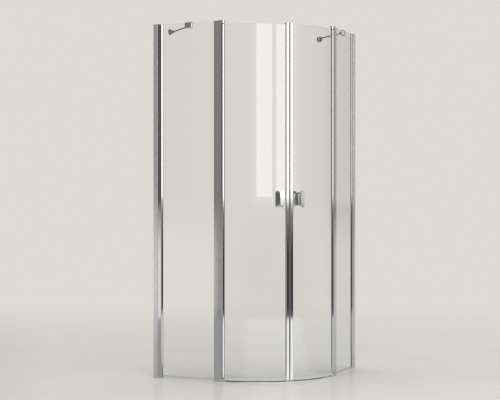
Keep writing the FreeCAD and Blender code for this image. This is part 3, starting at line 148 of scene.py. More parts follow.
def arc(centre: Sequence[float], radius: float, first: float, last: float, steps: int) -> Chain:
    """A round stretch: centre plus radius times (cos a, sin a), for a from first to last.

    Args:
        centre: middle of the circle.
        radius: its radius.
        first: angle of the first point in degrees.
        last: angle of the last point; below first where the profile is hollow there.
        steps: number of pieces.

    Returns:
        The stretch, whose outward direction points at the centre where it is hollow.
    """
    angles = np.radians(np.linspace(first, last, steps + 1))
    spokes = np.stack([np.cos(angles), np.sin(angles)], axis=1)
    bulge = 1.0 if last > first else -1.0
    return Chain(np.asarray(centre, float) + radius * spokes, bulge * spokes)


def eased(corners: Sequence[tuple[float, float, float]], steps: int = 6) -> list[Chain]:
    """A polygon, anticlockwise, whose corners are rounded by a circle of their own.

    Each circle touches both edges, radius times the tangent of half the turn before and
    after the corner, and its points follow the outward direction as it turns.

    Args:
        corners: x, y and radius of each corner.
        steps: pieces of each round.

    Returns:
        One closed smooth chain.
    """
    places = np.array([corner[:2] for corner in corners], float)
    radii = np.array([corner[2] for corner in corners], float)
    arriving = places - np.roll(places, 1, axis=0)
    arriving /= np.linalg.norm(arriving, axis=1, keepdims=True)
    leaving = np.roll(arriving, -1, axis=0)
    turns = np.arctan2(
        arriving[:, 0] * leaving[:, 1] - arriving[:, 1] * leaving[:, 0],
        np.sum(arriving * leaving, axis=1))
    bulges = np.sign(turns)
    outwards = np.stack([arriving[:, 1], -arriving[:, 0]], axis=1)
    starts = places - arriving * (radii * np.tan(np.abs(turns) / 2))[:, None]
    centres = starts - outwards * (bulges * radii)[:, None]
    swing = turns[:, None] * np.linspace(0, 1, steps + 1)[None, :]
    cosines, sines = np.cos(swing), np.sin(swing)
    normals = np.stack([
        outwards[:, :1] * cosines - outwards[:, 1:] * sines,
        outwards[:, :1] * sines + outwards[:, 1:] * cosines], axis=2)
    points = centres[:, None] + normals * (bulges * radii)[:, None, None]
    points, normals = points.reshape(-1, 2), normals.reshape(-1, 2)
    return [Chain(np.vstack([points, points[:1]]), np.vstack([normals, normals[:1]]))]


def block(x: Span, y: Span, first: float, last: float, steps: int) -> list[Chain]:
    """A rectangle whose corners are rounded.

    Args:
        x: its lowest and highest x.
        y: its lowest and highest y.
        first: radius of the two corners at its lowest x.
        last: radius of the two at its highest x.
        steps: pieces of each round.

    Returns:
        One closed smooth chain.
    """
    return eased([
        (x[0], y[0], first), (x[1], y[0], last), (x[1], y[1], last), (x[0], y[1], first)],
        steps)


def joined(stretches: Sequence[Chain]) -> list[Chain]:
    """Join the stretches of a closed profile wherever their outward directions agree.

    Args:
        stretches: lines and arcs in order, anticlockwise.

    Returns:
        Smooth chains that meet at sharp corners.
    """
    chains = [stretches[0]]
    for stretch in stretches[1:]:
        last = chains[-1]
        if float(last.normals[-1] @ stretch.normals[0]) > SMOOTH_DOT:
            chains[-1] = Chain(
                np.vstack([last.points, stretch.points[1:]]),
                np.vstack([last.normals, stretch.normals[1:]]))
        else:
            chains.append(stretch)
    return chains


# ---------------------------------------------------------------- places and paths

@dataclass(frozen=True)
class Path:
    """Where a profile's origin, x axis and y axis go at each step; x cross y runs ahead."""

    origins: np.ndarray
    across: np.ndarray
    upward: np.ndarray


@dataclass(frozen=True)
class Place:
    """An origin and two directions in which a profile is drawn; their cross product leads."""

    origin: np.ndarray
    across: np.ndarray
    upward: np.ndarray

    @property
    def ahead(self) -> np.ndarray:
        """The direction in which the profile is carried."""
        return np.cross(self.across, self.upward)

    @staticmethod
    def on_plan(x: float, y: float, turn: float = 0.0) -> "Place":
        """A place on the floor plan that leads upwards.

        Args:
            x: its origin.
            y: its origin.
            turn: degrees from +X to its x axis, anticlockwise.

        Returns:
            The place.
        """
        angle = math.radians(turn)
        across = np.array([math.cos(angle), math.sin(angle), 0.0])
        return Place(np.array([x, y, 0.0]), across, np.cross(UP, across))

    @staticmethod
    def on_wall(x: float, y: float, facing: float) -> "Place":
        """An upright place whose y axis is up and which leads towards an azimuth.

        Args:
            x: its origin at floor level.
            y: its origin at floor level.
            facing: degrees from straight in front (-Y), towards +X.

        Returns:
            The place; its x axis runs to the right of someone who looks at it.
        """
        angle = math.radians(facing)
        across = np.array([math.cos(angle), math.sin(angle), 0.0])
        return Place(np.array([x, y, 0.0]), across, UP)

    def straight(self, distances: Sequence[float]) -> Path:
        """A straight path ahead from this place.

        Args:
            distances: how far ahead of the origin each step is.

        Returns:
            The path.
        """
        steps = np.asarray(distances, float)[:, None]
        count = (len(steps), 1)
        return Path(self.origin + steps * self.ahead,
                    np.tile(self.across, count), np.tile(self.upward, count))


def round_path(x: float, y: float, first: float, last: float, steps: int) -> Path:
    """A turn about an upright axis, for a profile of radius against height.

    Args:
        x: the axis.
        y: the axis.
        first: the larger angle in degrees, where the path starts.
        last: the smaller angle, where it ends.
        steps: number of pieces.

    Returns:
        The path, whose x axis is (cos a, sin a, 0) and whose y axis points up.
    """
    angles = np.radians(np.linspace(first, last, steps + 1))
    zeros = np.zeros_like(angles)
    origins = np.stack([zeros + x, zeros + y, zeros], axis=1)
    across = np.stack([np.cos(angles), np.sin(angles), zeros], axis=1)
    return Path(origins, across, np.tile(UP, (len(angles), 1)))


# ---------------------------------------------------------------- meshes

def linked(name: str, data: bpy.types.ID) -> bpy.types.Object:
    """Link a new object to the scene.

    Args:
        name: the object's name.
        data: the mesh, lamp or camera that it shows.

    Returns:
        The object.
    """
    made = bpy.data.objects.new(name, data)
    bpy.context.scene.collection.objects.link(made)
    return made


class Shell:
    """Collects smooth patches and flat faces and welds them into one closed mesh."""

    def __init__(self) -> None:
        """Start with nothing in it."""
        self.points: list[np.ndarray] = []
        self.normals: list[np.ndarray] = []
        self.quads: list[np.ndarray] = []
        self.flats: list[np.ndarray] = []
        self.count = 0

    def _add(self, points: np.ndarray, normals: np.ndarray) -> int:
        """Store some points.

        Args:
            points: an array whose last axis is x, y and z.
            normals: the outward direction at each.

        Returns:
            The number of the first.
        """
        first = self.count
        self.points.append(points.reshape(-1, 3))
        self.normals.append(normals.reshape(-1, 3))
        self.count += len(self.points[-1])
        return first

    def grid(self, points: np.ndarray, normals: np.ndarray) -> None:
        """Add a patch of quads.

        Args:
            points: steps along the path by points along the profile by 3.
            normals: the outward direction at each.
        """
        first = self._add(points, normals)
        rows, columns = points.shape[:2]
        numbers = first + np.arange(rows * columns).reshape(rows, columns)
        corners = [numbers[:-1, :-1], numbers[:-1, 1:], numbers[1:, 1:], numbers[1:, :-1]]
        self.quads.append(np.stack(corners, axis=-1).reshape(-1, 4))

    def flat(self, ring: np.ndarray, normal: np.ndarray) -> None:
        """Add one flat face round a ring of points, anticlockwise seen from outside."""
        first = self._add(ring, np.tile(normal, (len(ring), 1)))
        self.flats.append(first + np.arange(len(ring)))

    def sweep(self, profile: Sequence[Chain], path: Path) -> "Shell":
        """Carry a closed profile along a path: origin + x * across + y * upward.

        Args:
            profile: the chains of a closed anticlockwise profile.
            path: where it goes.

        Returns:
            This shell.
        """
        rings = []
        for chain in profile:
            x, y = chain.points[:, 0], chain.points[:, 1]
            points = (path.origins[:, None] + path.across[:, None] * x[None, :, None]
                      + path.upward[:, None] * y[None, :, None])
            u, v = chain.normals[:, 0], chain.normals[:, 1]
            normals = (path.across[:, None] * u[None, :, None]
                       + path.upward[:, None] * v[None, :, None])
            self.grid(points, normals)
            rings.append(points[:, :-1])
        whole = np.concatenate(rings, axis=1)
        ahead = np.cross(path.across, path.upward)
        self.flat(whole[0, ::-1], -ahead[0])
        self.flat(whole[-1], ahead[-1])
        return self

    def prism(self, profile: Sequence[Chain], place: Place, bottom: float, top: float,
              rims: Span, steps: int = 5) -> "Shell":
        """A prism of one smooth chain, led ahead from a place, whose end edges are rounded.

        At an angle b up the rim, each point moves in by rim * (1 - cos b) against its
        outward direction, and its outward direction tilts to (cos b, sin b).

        Args:
            profile: one closed smooth chain.
            place: where it is drawn.
            bottom: distance ahead of its first end.
            top: distance ahead of its last end.
            rims: radius of the first and of the last rim; zero is a sharp edge.
            steps: pieces of each rim.

        Returns:
            This shell.
        """
        low, high = rims
        rise = np.radians(np.linspace(0, 90, steps + 1))
        tilts = np.concatenate([-rise[::-1] if low else [0.0], rise if high else [0.0]])
        below = np.arange(len(tilts)) < (len(rise) if low else 1)
        rim = np.where(below, low, high)
        inset = rim * (1 - np.cos(tilts))
        heights = np.where(below, bottom + rim, top - rim) + rim * np.sin(tilts)
        chain = profile[0]
        out = chain.normals[:, :1] * place.across + chain.normals[:, 1:] * place.upward
        base = chain.points[:, :1] * place.across + chain.points[:, 1:] * place.upward
        base = base + place.origin
        points = base[None] - inset[:, None, None] * out[None]
        points = points + heights[:, None, None] * place.ahead
        normals = (np.cos(tilts)[:, None, None] * out[None]
                   + np.sin(tilts)[:, None, None] * place.ahead)
        self.grid(points, normals)
        self.flat(points[0, :-1][::-1], -place.ahead)
        self.flat(points[-1, :-1], place.ahead)
        return self

    def build(self, name: str, side: Side) -> bpy.types.Object:
        """Weld everything into an object, as drawn or as its mirror image.

        Args:
            name: the new object's name.
            side: the left-hand piece as it is drawn, or its right-hand twin.

        Returns:
            The object, linked to the scene, with its place in its mesh.
        """
        points, normals = np.vstack(self.points), np.vstack(self.normals)
        quads = np.vstack(self.quads)
        flats = self.flats
        if side is Side.RIGHT:
            points, normals = points @ TWIN, normals @ TWIN
            quads = quads[:, ::-1]
            flats = [ring[::-1] for ring in flats]
        _, keep, welded = np.unique(
            np.round(points / WELD).astype(np.int64), axis=0,
            return_index=True, return_inverse=True)
        welded = welded.reshape(-1)
        corners = welded[quads]
        whole = np.all(corners != np.roll(corners, 1, axis=1), axis=1)
        odd = [
            ring[welded[ring] != np.roll(welded[ring], 1)]
            for ring in list(quads[~whole]) + flats]
        rings = list(quads[whole]) + [ring for ring in odd if len(ring) > 2]
        mesh = bpy.data.meshes.new(name)
        mesh.from_pydata(points[keep].tolist(), [], [welded[ring].tolist() for ring in rings])
        mesh.polygons.foreach_set("use_smooth", np.ones(len(rings), bool))
        if mesh.validate(verbose=True):
            raise ValueError(f"{name}: the mesh has faults")
        mesh.normals_split_custom_set(normals[np.concatenate(rings)].tolist())
        mesh.update()
        return linked(name, mesh)


# ---------------------------------------------------------------- finishes

def shaded(colour: Colour, factor: float) -> Colour:
    """A colour with every channel times a factor."""
    return (colour[0] * factor, colour[1] * factor, colour[2] * factor)


class Wiring:
    """An emptied node tree, with short ways to add and join its nodes."""

    def __init__(self, owner: bpy.types.ID) -> None:
        """Empty the owner's tree.

        Args:
            owner: a material or a world.
        """
        owner.use_nodes = True
        self.owner = owner
        self.tree = owner.node_tree
        self.tree.nodes.clear()

    @staticmethod
    def material(name: str) -> "Wiring":
        """The wiring of a new material."""
        return Wiring(bpy.data.materials.new(name))

    def node(self, kind: str, **sockets: object) -> bpy.types.Node:
        """Add a node and set or feed its sockets.

        Args:
            kind: Blender's name of the node's class, without "ShaderNode".
            sockets: what each input takes, by its name with _ for a space: a value, or
                another node's output.

        Returns:
            The node.
        """
        made = self.tree.nodes.new("ShaderNode" + kind)
        for name, value in sockets.items():
            self.feed(made.inputs[name.replace("_", " ")], value)
        return made

    def shader(self, kind: str, **sockets: object) -> Socket:
        """Add a shader in the same way, and give what comes out of it."""
        return self.node(kind, **sockets).outputs[0]

    def feed(self, socket: Socket, value: object) -> None:
        """Set a socket, or link an output to it.

        Args:
            socket: a node's input.
            value: a plain value, or another node's output.
        """
        if isinstance(value, Socket):
            self.tree.links.new(value, socket)
        else:
            socket.default_value = value

    def math(self, operation: str, *values: object) -> Socket:
        """One step of arithmetic.

        Args:
            operation: Blender's name of it.
            values: plain values or outputs that it takes.

        Returns:
            The result.
        """
        step = self.node("Math")
        step.operation = operation
        for socket, value in zip(step.inputs, values):
            self.feed(socket, value)
        return step.outputs[0]

    def within(self, value: Socket, low: float, high: float) -> Socket:
        """One where the value lies between low and high, and zero elsewhere."""
        return self.math(
            "MULTIPLY", self.math("GREATER_THAN", value, low),
            self.math("LESS_THAN", value, high))

    def ranged(self, value: Socket, low: float, high: float,
               start: float = 0.3, end: float = 0.7) -> Socket:
        """The value from start to end, spread over low to high and held there."""
        spread = self.node("MapRange", Value=value, From_Min=start, From_Max=end,
                           To_Min=low, To_Max=high)
        return spread.outputs["Result"]

    def place(self) -> Socket:
        """A point's place on the object's own axes."""
        return self.node("TexCoord").outputs["Object"]

    def height(self) -> Socket:
        """A point's height."""
        return self.node("SeparateXYZ", Vector=self.place()).outputs["Z"]

    def reach(self) -> Socket:
        """A point's distance from the origin.

        Returns:
            The distance in metres.
        """
        length = self.node("VectorMath")
        length.operation = "LENGTH"
        self.feed(length.inputs[0], self.place())
        return length.outputs["Value"]

    def azimuth(self) -> Socket:
        """A point's azimuth, atan2(x, -y).

        Returns:
            Its share of the whole turn, 0.5 straight in front.
        """
        axes = self.node("SeparateXYZ", Vector=self.place())
        front = self.math("MULTIPLY", axes.outputs["Y"], -1.0)
        turn = self.math("ARCTAN2", axes.outputs["X"], front)
        return self.math("MULTIPLY_ADD", turn, 0.5 / math.pi, 0.5)

    def noise(self, scale: Sequence[float], detail: float = 2.0,
              roughness: float = 0.5) -> Socket:
        """Noise on Object coordinates.

        Args:
            scale: how fine it is along each axis.
            detail: how many finer layers it has.
            roughness: how strong those are.

        Returns:
            The pattern, about 0.3 to 0.7.
        """
        mapping = self.node("Mapping", Vector=self.place(), Scale=scale)
        pattern = self.node("TexNoise", Vector=mapping.outputs["Vector"], Scale=1.0,
                            Detail=detail, Roughness=roughness)
        return pattern.outputs["Fac"]

    def worn(self, pattern: Socket, colour: Colour, least: float) -> Socket:
        """A colour that a pattern darkens a little.

        Args:
            pattern: 1 for the whole colour, 0 for the least.
            colour: the whole colour.
            least: the share of itself that it falls to.

        Returns:
            The colour.
        """
        mixed = self.node("Mix")
        mixed.data_type = "RGBA"
        self.feed(mixed.inputs["Factor"], pattern)
        mixed.inputs[6].default_value = (*shaded(colour, least), 1.0)
        mixed.inputs[7].default_value = (*colour, 1.0)
        return mixed.outputs[2]

    def bump(self, height: Socket, strength: float, distance: float) -> Socket:
        """A normal tilted by a height, in metres times the distance."""
        made = self.node("Bump", Height=height, Strength=strength, Distance=distance)
        return made.outputs["Normal"]

    def mix_values(self, factor: Socket, first: object, second: object) -> Socket:
        """A value between two.

        Args:
            factor: 0 for the first, 1 for the second.
            first: a plain value or an output.
            second: a plain value or an output.

        Returns:
            The value.
        """
        mixed = self.node("Mix")
        for number, value in zip((0, 2, 3), (factor, first, second)):
            self.feed(mixed.inputs[number], value)
        return mixed.outputs[0]

    def mix_shaders(self, factor: Socket, first: Socket, second: Socket) -> Socket:
        """A shader between two.

        Args:
            factor: 0 for the first, 1 for the second.
            first: a shader's output.
            second: a shader's output.

        Returns:
            The mixed shader.
        """
        mixed = self.node("MixShader", Fac=factor)
        self.feed(mixed.inputs[1], first)
        self.feed(mixed.inputs[2], second)
        return mixed.outputs[0]

    def seen(self) -> Socket:
        """Tell the rays that show something from those that light it.

        Returns:
            One for rays from the camera, off polished surfaces and through glass.
        """
        path = self.node("LightPath")
        total = path.outputs["Is Camera Ray"]
        for name in ("Is Glossy Ray", "Is Transmission Ray"):
            total = self.math("MAXIMUM", total, path.outputs[name])
        return total

    def finish(self, shader: Socket) -> bpy.types.Material:
        """Put the shader on the surface and give the material."""
        self.node("OutputMaterial", Surface=shader)
        return self.owner

    def finish_card(self, plain: Socket, card: Socket) -> bpy.types.Material:
        """Put one shader on the surface, and another for polished surfaces to mirror.

        Args:
            plain: what every other ray meets.
            card: what rays meet that have come off a polished surface, also through glass.

        Returns:
            The material, which isn't sampled as a lamp.
        """
        bounces = self.node("LightPath").outputs["Glossy Depth"]
        mirrored = self.math("GREATER_THAN", bounces, 0.5)
        material = self.finish(self.mix_shaders(mirrored, plain, card))
        material.cycles.emission_sampling = "NONE"
        return material


@dataclass(frozen=True)
class PolishedMetal:
    """Bright metal with fine lines along its length and a faint haze in patches."""

    colour: Colour
    gloss: Span
    lines: float
    haze: float = 18.0
    metal: float = 1.0
    drawn: tuple[float, float, float] = (900.0, 900.0, 1.2)
    least: float = 0.97

    def material(self, name: str) -> bpy.types.Material:
        """Mirror metal whose surface follows its lines, and its tone and gloss the haze.

        Args:
            name: the material's name.

        Returns:
            The material.
        """
        wiring = Wiring.material(name)
        lines = wiring.noise(self.drawn, detail=3.0)
        patches = wiring.noise((self.haze,) * 3, detail=4.0, roughness=0.6)
        return wiring.finish(wiring.shader(
            "BsdfPrincipled", Base_Color=wiring.worn(patches, self.colour, self.least),
            Metallic=self.metal, Roughness=wiring.ranged(patches, *self.gloss),
            Normal=wiring.bump(lines, self.lines, GRAIN_DEPTH)))


@dataclass(frozen=True)
class ClearGlass:
    """Toughened glass: clear, faintly green, with the slight waves of its rollers."""

    colour: Colour = (0.98, 0.99, 0.985)
    shadow: float = 0.97
    index: float = 1.5
    waves: tuple[float, float, float] = (2.2, 2.2, 5.0)
    wave_strength: float = 0.06
    wave_depth: float = 0.004

    def material(self, name: str) -> bpy.types.Material:
        """Refracting glass that the lamps' light passes straight through.

        Args:
            name: the material's name.

        Returns:
            The material.
        """
        wiring = Wiring.material(name)
        waves = wiring.noise(self.waves, detail=1.0)
        glass = wiring.shader(
            "BsdfPrincipled", Base_Color=(*self.colour, 1.0), Roughness=0.0, IOR=self.index,
            Transmission_Weight=1.0,
            Normal=wiring.bump(waves, self.wave_strength, self.wave_depth))
        passing = wiring.shader(
            "BsdfTransparent", Color=(*shaded(self.colour, self.shadow), 1.0))
        lamp = wiring.node("LightPath").outputs["Is Shadow Ray"]
        return wiring.finish(wiring.mix_shaders(lamp, glass, passing))


@dataclass(frozen=True)
class SoftPlastic:
    """Extruded or moulded plastic and rubber with a fine grain and a duller bloom."""

    colour: Colour
    gloss: Span
    metal: float = 0.0
    bloom: float = 40.0
    least: float = 0.9
    grain: float = 1500.0
    grain_strength: float = 0.15

    def material(self, name: str) -> bpy.types.Material:
        """A dull or glossy solid colour that varies a little from place to place.

        Args:
            name: the material's name.

        Returns:
            The material.
        """
        wiring = Wiring.material(name)
        patches = wiring.noise((self.bloom,) * 3, detail=5.0)
        grain = wiring.noise((self.grain,) * 3)
        return wiring.finish(wiring.shader(
            "BsdfPrincipled", Base_Color=wiring.worn(patches, self.colour, self.least),
            Metallic=self.metal, Roughness=wiring.ranged(patches, *self.gloss),
            Normal=wiring.bump(grain, self.grain_strength, GRAIN_DEPTH)))


@dataclass(frozen=True)
class ClearPlastic:
    """Clear soft plastic: mostly see-through, with a faint milky bloom and a soft shine."""

    colour: Colour
    body: Span = (0.2, 0.26)
    gloss: Span = (0.15, 0.2)
    bloom: float = 5.0
    least: float = 0.96

    def material(self, name: str) -> bpy.types.Material:
        """A see-through coat whose body and gloss vary a little.

        Args:
            name: the material's name.

        Returns:
            The material.
        """
        wiring = Wiring.material(name)
        patches = wiring.noise((self.bloom,) * 3, detail=1.0)
        return wiring.finish(wiring.shader(
            "BsdfPrincipled", Base_Color=wiring.worn(patches, self.colour, self.least),
            Roughness=wiring.ranged(patches, *self.gloss),
            Alpha=wiring.ranged(patches, *self.body)))


FINISHES = {
    Slot.PROFILE: PolishedMetal((0.86, 0.86, 0.87), (0.03, 0.075), 0.02),
    Slot.CHROME: PolishedMetal((0.92, 0.93, 0.94), (0.02, 0.06), 0.0, haze=30.0),
    Slot.STEEL: PolishedMetal((0.68, 0.68, 0.69), (0.18, 0.3), 0.1),
    Slot.GLASS: ClearGlass(),
    Slot.CAP: SoftPlastic((0.72, 0.72, 0.73), (0.2, 0.32), metal=0.6),
    Slot.SEAL: ClearPlastic((0.84, 0.86, 0.86)),
    Slot.GASKET: SoftPlastic((0.15, 0.15, 0.155), (0.5, 0.65)),
    Slot.MAGNET: SoftPlastic((0.12, 0.12, 0.125), (0.35, 0.5)),
    Slot.BUSH: SoftPlastic((0.03, 0.03, 0.032), (0.35, 0.5)),
}
SATIN = PolishedMetal((0.8, 0.8, 0.81), (0.17, 0.23), 0.12, metal=0.72)
# A darker copy of the chrome: painted shade on the brace rod and rosette, standing in for the
# dark surroundings that they mirror
SHADE_PAINTED_CHROME = PolishedMetal((0.44, 0.45, 0.47), (0.02, 0.06), 0.0, haze=30.0)


class Palette:
    """Every finish's material, and which slot each CAD node takes."""

    def __init__(self) -> None:
        """Make the materials and read the record's slots."""
        self.materials = {
            slot.value: finish.material(slot.value) for slot, finish in FINISHES.items()}
        satin = SATIN.material("satin_channel")
        # The brace rod and rosette take the chrome darkened as painted shade
        shade_painted = SHADE_PAINTED_CHROME.material("shade_painted_chrome")
        self.toned = {"wall_channel": satin, "brace_rod": shade_painted, "brace_rosette": shade_painted}
        self.slots = {
            part["node"]: part["material_slot"] for part in frame["record"]["subparts"]}

    def dress(self, piece: bpy.types.Object, slot: Slot) -> None:
        """Give a piece one material, on the whole of its mesh.

        Args:
            piece: a drawn piece.
            slot: the slot whose finish it takes.
        """
        piece.data.materials.clear()
        piece.data.materials.append(self.materials[slot.value])

    def dress_node(self, node: str) -> None:
        """Give a CAD node that still shows its slot's material, or another tone of it: satin for
        the wall channel, and chrome darkened as painted shade for the brace rod and rosette.

        Args:
            node: the node's name.
        """
        piece = frame["nodes"][node]
        slot = self.slots[node]
        noun = node.partition("_")[2]
        piece.material_slots[0].material = self.toned.get(noun, self.materials[slot])


# ---------------------------------------------------------------- the plan

@dataclass(frozen=True)
class Plan:
    """The enclosure's main lines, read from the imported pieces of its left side."""

    wall: float
    glass: float
    stile_x: float
    stile_radius: float
    arc_x: float
    arc_y: float
    arc_radius: float
    glass_half: float

    @staticmethod
    def measured() -> "Plan":
        """Read the walls, the glass line, the stile and the doors' arc from the frame.

        Returns:
            The plan.
        """
        low, _ = CAD_BOX
        pane_low, pane_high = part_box("left_fixed_glass")
        stile_low, stile_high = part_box("left_door_stile")
        glass = (pane_low.y + pane_high.y) / 2
        radius = (stile_high.y - stile_low.y) / 2
        stile_x = stile_low.x + radius
        return Plan(
            wall=low.x, glass=glass, stile_x=stile_x, stile_radius=radius,
            arc_x=stile_x, arc_y=-stile_x, arc_radius=-stile_x - glass,
            glass_half=(pane_high.y - pane_low.y) / 2)

    def extent(self, noun: str) -> tuple[float, float, float, Span]:
        """How far a left-hand piece reaches.

        Args:
            noun: the CAD node's name without its side.

        Returns:
            Its start and end from the wall, half its depth, and its lowest and highest z.
        """
        low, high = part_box(f"{Side.LEFT.value}_{noun}")
        return low.x - self.wall, high.x - self.wall, (high.y - low.y) / 2, (low.z, high.z)

    def panel(self) -> Place:
        """The left panel's middle line, with x from the wall."""
        return Place.on_plan(self.wall, self.glass)

    def stile(self) -> Place:
        """The left door's pivot axis."""
        return Place.on_plan(self.stile_x, self.glass)

    def meeting(self) -> Place:
        """Where the glass line meets the diagonal, with x along the door."""
        reach = self.arc_radius * math.sqrt(0.5)
        return Place.on_plan(self.arc_x + reach, self.arc_y - reach, DIAGONAL)


class Workshop:
    """Builds each drawn piece for both sides and puts it in place of its CAD node."""

    def __init__(self, palette: Palette) -> None:
        """Keep the palette and remember nothing replaced yet."""
        self.palette = palette
        self.replaced: set[str] = set()

    def pair(self, shell: Shell, noun: str, slot: Slot, on_door: bool = False) -> None:
        """Make a drawn piece and its twin, each in place of its own CAD node.

        Args:
            shell: the left-hand piece.
            noun: the CAD node's name without its side.
            slot: the material slot it takes.
            on_door: True if it moves with the door.
        """
        for side in Side:
            node = f"{side.value}_{noun}"
            piece = shell.build(f"{node}_look", side)
            self.palette.dress(piece, slot)
            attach(piece, (Body.door(side) if on_door else Body.FIXED).value)
            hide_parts(node)
            self.replaced.add(node)
            LOG.info("%s: %d faces", piece.name, len(piece.data.polygons))

    def keep_the_rest(self) -> None:
        """Give every CAD node that still shows its own material."""
        for node in sorted(frame["nodes"]):
            if node not in self.replaced:
                self.palette.dress_node(node)
                LOG.info("%s: CAD shape kept", node)


# ---------------------------------------------------------------- fixed panels

@dataclass(frozen=True)
class FixedPanel:
    """A flat side panel: the wall profile, the glass, and the profile on its free edge."""

    plan: Plan
    nose_steps: int = 24
    arris: float = 0.0005
    edge_round: float = 0.0022
    slot_half: float = 0.0048
    slot_depth: float = 0.016

    def wall_profile(self) -> Shell:
        """The profile at the wall, with its round nose and the slot for the glass.

        Returns:
            The left-hand piece.
        """
        start, mouth, half, heights = self.plan.extent("wall_profile")
        mouth_turn = math.degrees(math.asin(self.slot_half / half))
        centre = mouth - half * math.cos(math.radians(mouth_turn))
        floor = centre + half - self.slot_depth
        profile = joined([
            line((start, -half), (centre, -half)),
            arc((centre, 0), half, -90, -mouth_turn, self.nose_steps),
            line((mouth, -self.slot_half), (floor, -self.slot_half)),
            line((floor, -self.slot_half), (floor, self.slot_half)),
            line((floor, self.slot_half), (mouth, self.slot_half)),
            arc((centre, 0), half, mouth_turn, 90, self.nose_steps),
            line((centre, half), (start, half)),
            line((start, half), (start, -half)),
        ])
        return Shell().sweep(profile, self.plan.panel().straight(heights))

    def glass(self) -> Shell:
        """The flat glass with ground edges.

        Returns:
            The left-hand piece.
        """
        start, end, half, heights = self.plan.extent("fixed_glass")
        profile = block((start, end), (-half, half), self.arris, self.arris, steps=2)
        rims = (self.arris, self.arris)
        return Shell().prism(profile, self.plan.panel(), *heights, rims, steps=2)

    def end_profile(self) -> Shell:
        """The slotted profile on the glass's free edge, with its rounded mouth.

        Returns:
            The left-hand piece.
        """
        start, end, half, heights = self.plan.extent("end_profile")
        floor = start + self.slot_depth
        sharp = self.arris / 2
        profile = eased([
            (start, -half, self.edge_round), (end, -half, sharp), (end, half, sharp),
            (start, half, self.edge_round), (start, self.slot_half, sharp),
            (floor, self.slot_half, sharp), (floor, -self.slot_half, sharp),
            (start, -self.slot_half, sharp)])
        return Shell().sweep(profile, self.plan.panel().straight(heights))


# ---------------------------------------------------------------- hinge post

@dataclass(frozen=True)
class HingePost:
    """The hollow profile beside the door, and the round stile that turns in its seat."""

    plan: Plan
    round_steps: int = 40
    slot_half: float = 0.0048
    slot_back: float = 0.003
    seat_gap: float = 0.0006

    def hinge_profile(self) -> Shell:
        """The profile with a hollow seat round the stile.

        Returns:
            The left-hand piece.
        """
        start, _, half, heights = self.plan.extent("hinge_profile")
        axis = self.plan.stile_x - self.plan.wall
        seat = self.plan.stile_radius + self.seat_gap
        turn = math.degrees(math.asin(half / seat))
        edge = axis - seat * math.cos(math.radians(turn))
        profile = joined([
            line((start, -half), (edge, -half)),
            arc((axis, 0), seat, 180 + turn, 180 - turn, self.round_steps),
            line((edge, half), (start, half)),
            line((start, half), (start, -half)),
        ])
        return Shell().sweep(profile, self.plan.panel().straight(heights))

    def stile(self) -> Shell:
        """The round stile with its slot for the curved glass.

        Returns:
            The left-hand piece.
        """
        heights = self.plan.extent("door_stile")[3]
        radius = self.plan.stile_radius
        turn = math.degrees(math.asin(self.slot_half / radius))
        mouth = radius * math.cos(math.radians(turn))
        profile = joined([
            line((-self.slot_back, self.slot_half), (mouth, self.slot_half)),
            arc((0, 0), radius, turn, 360 - turn, 2 * self.round_steps),
            line((mouth, -self.slot_half), (-self.slot_back, -self.slot_half)),
            line((-self.slot_back, -self.slot_half), (-self.slot_back, self.slot_half)),
        ])
        return Shell().sweep(profile, self.plan.stile().straight(heights))


# ---------------------------------------------------------------- doors

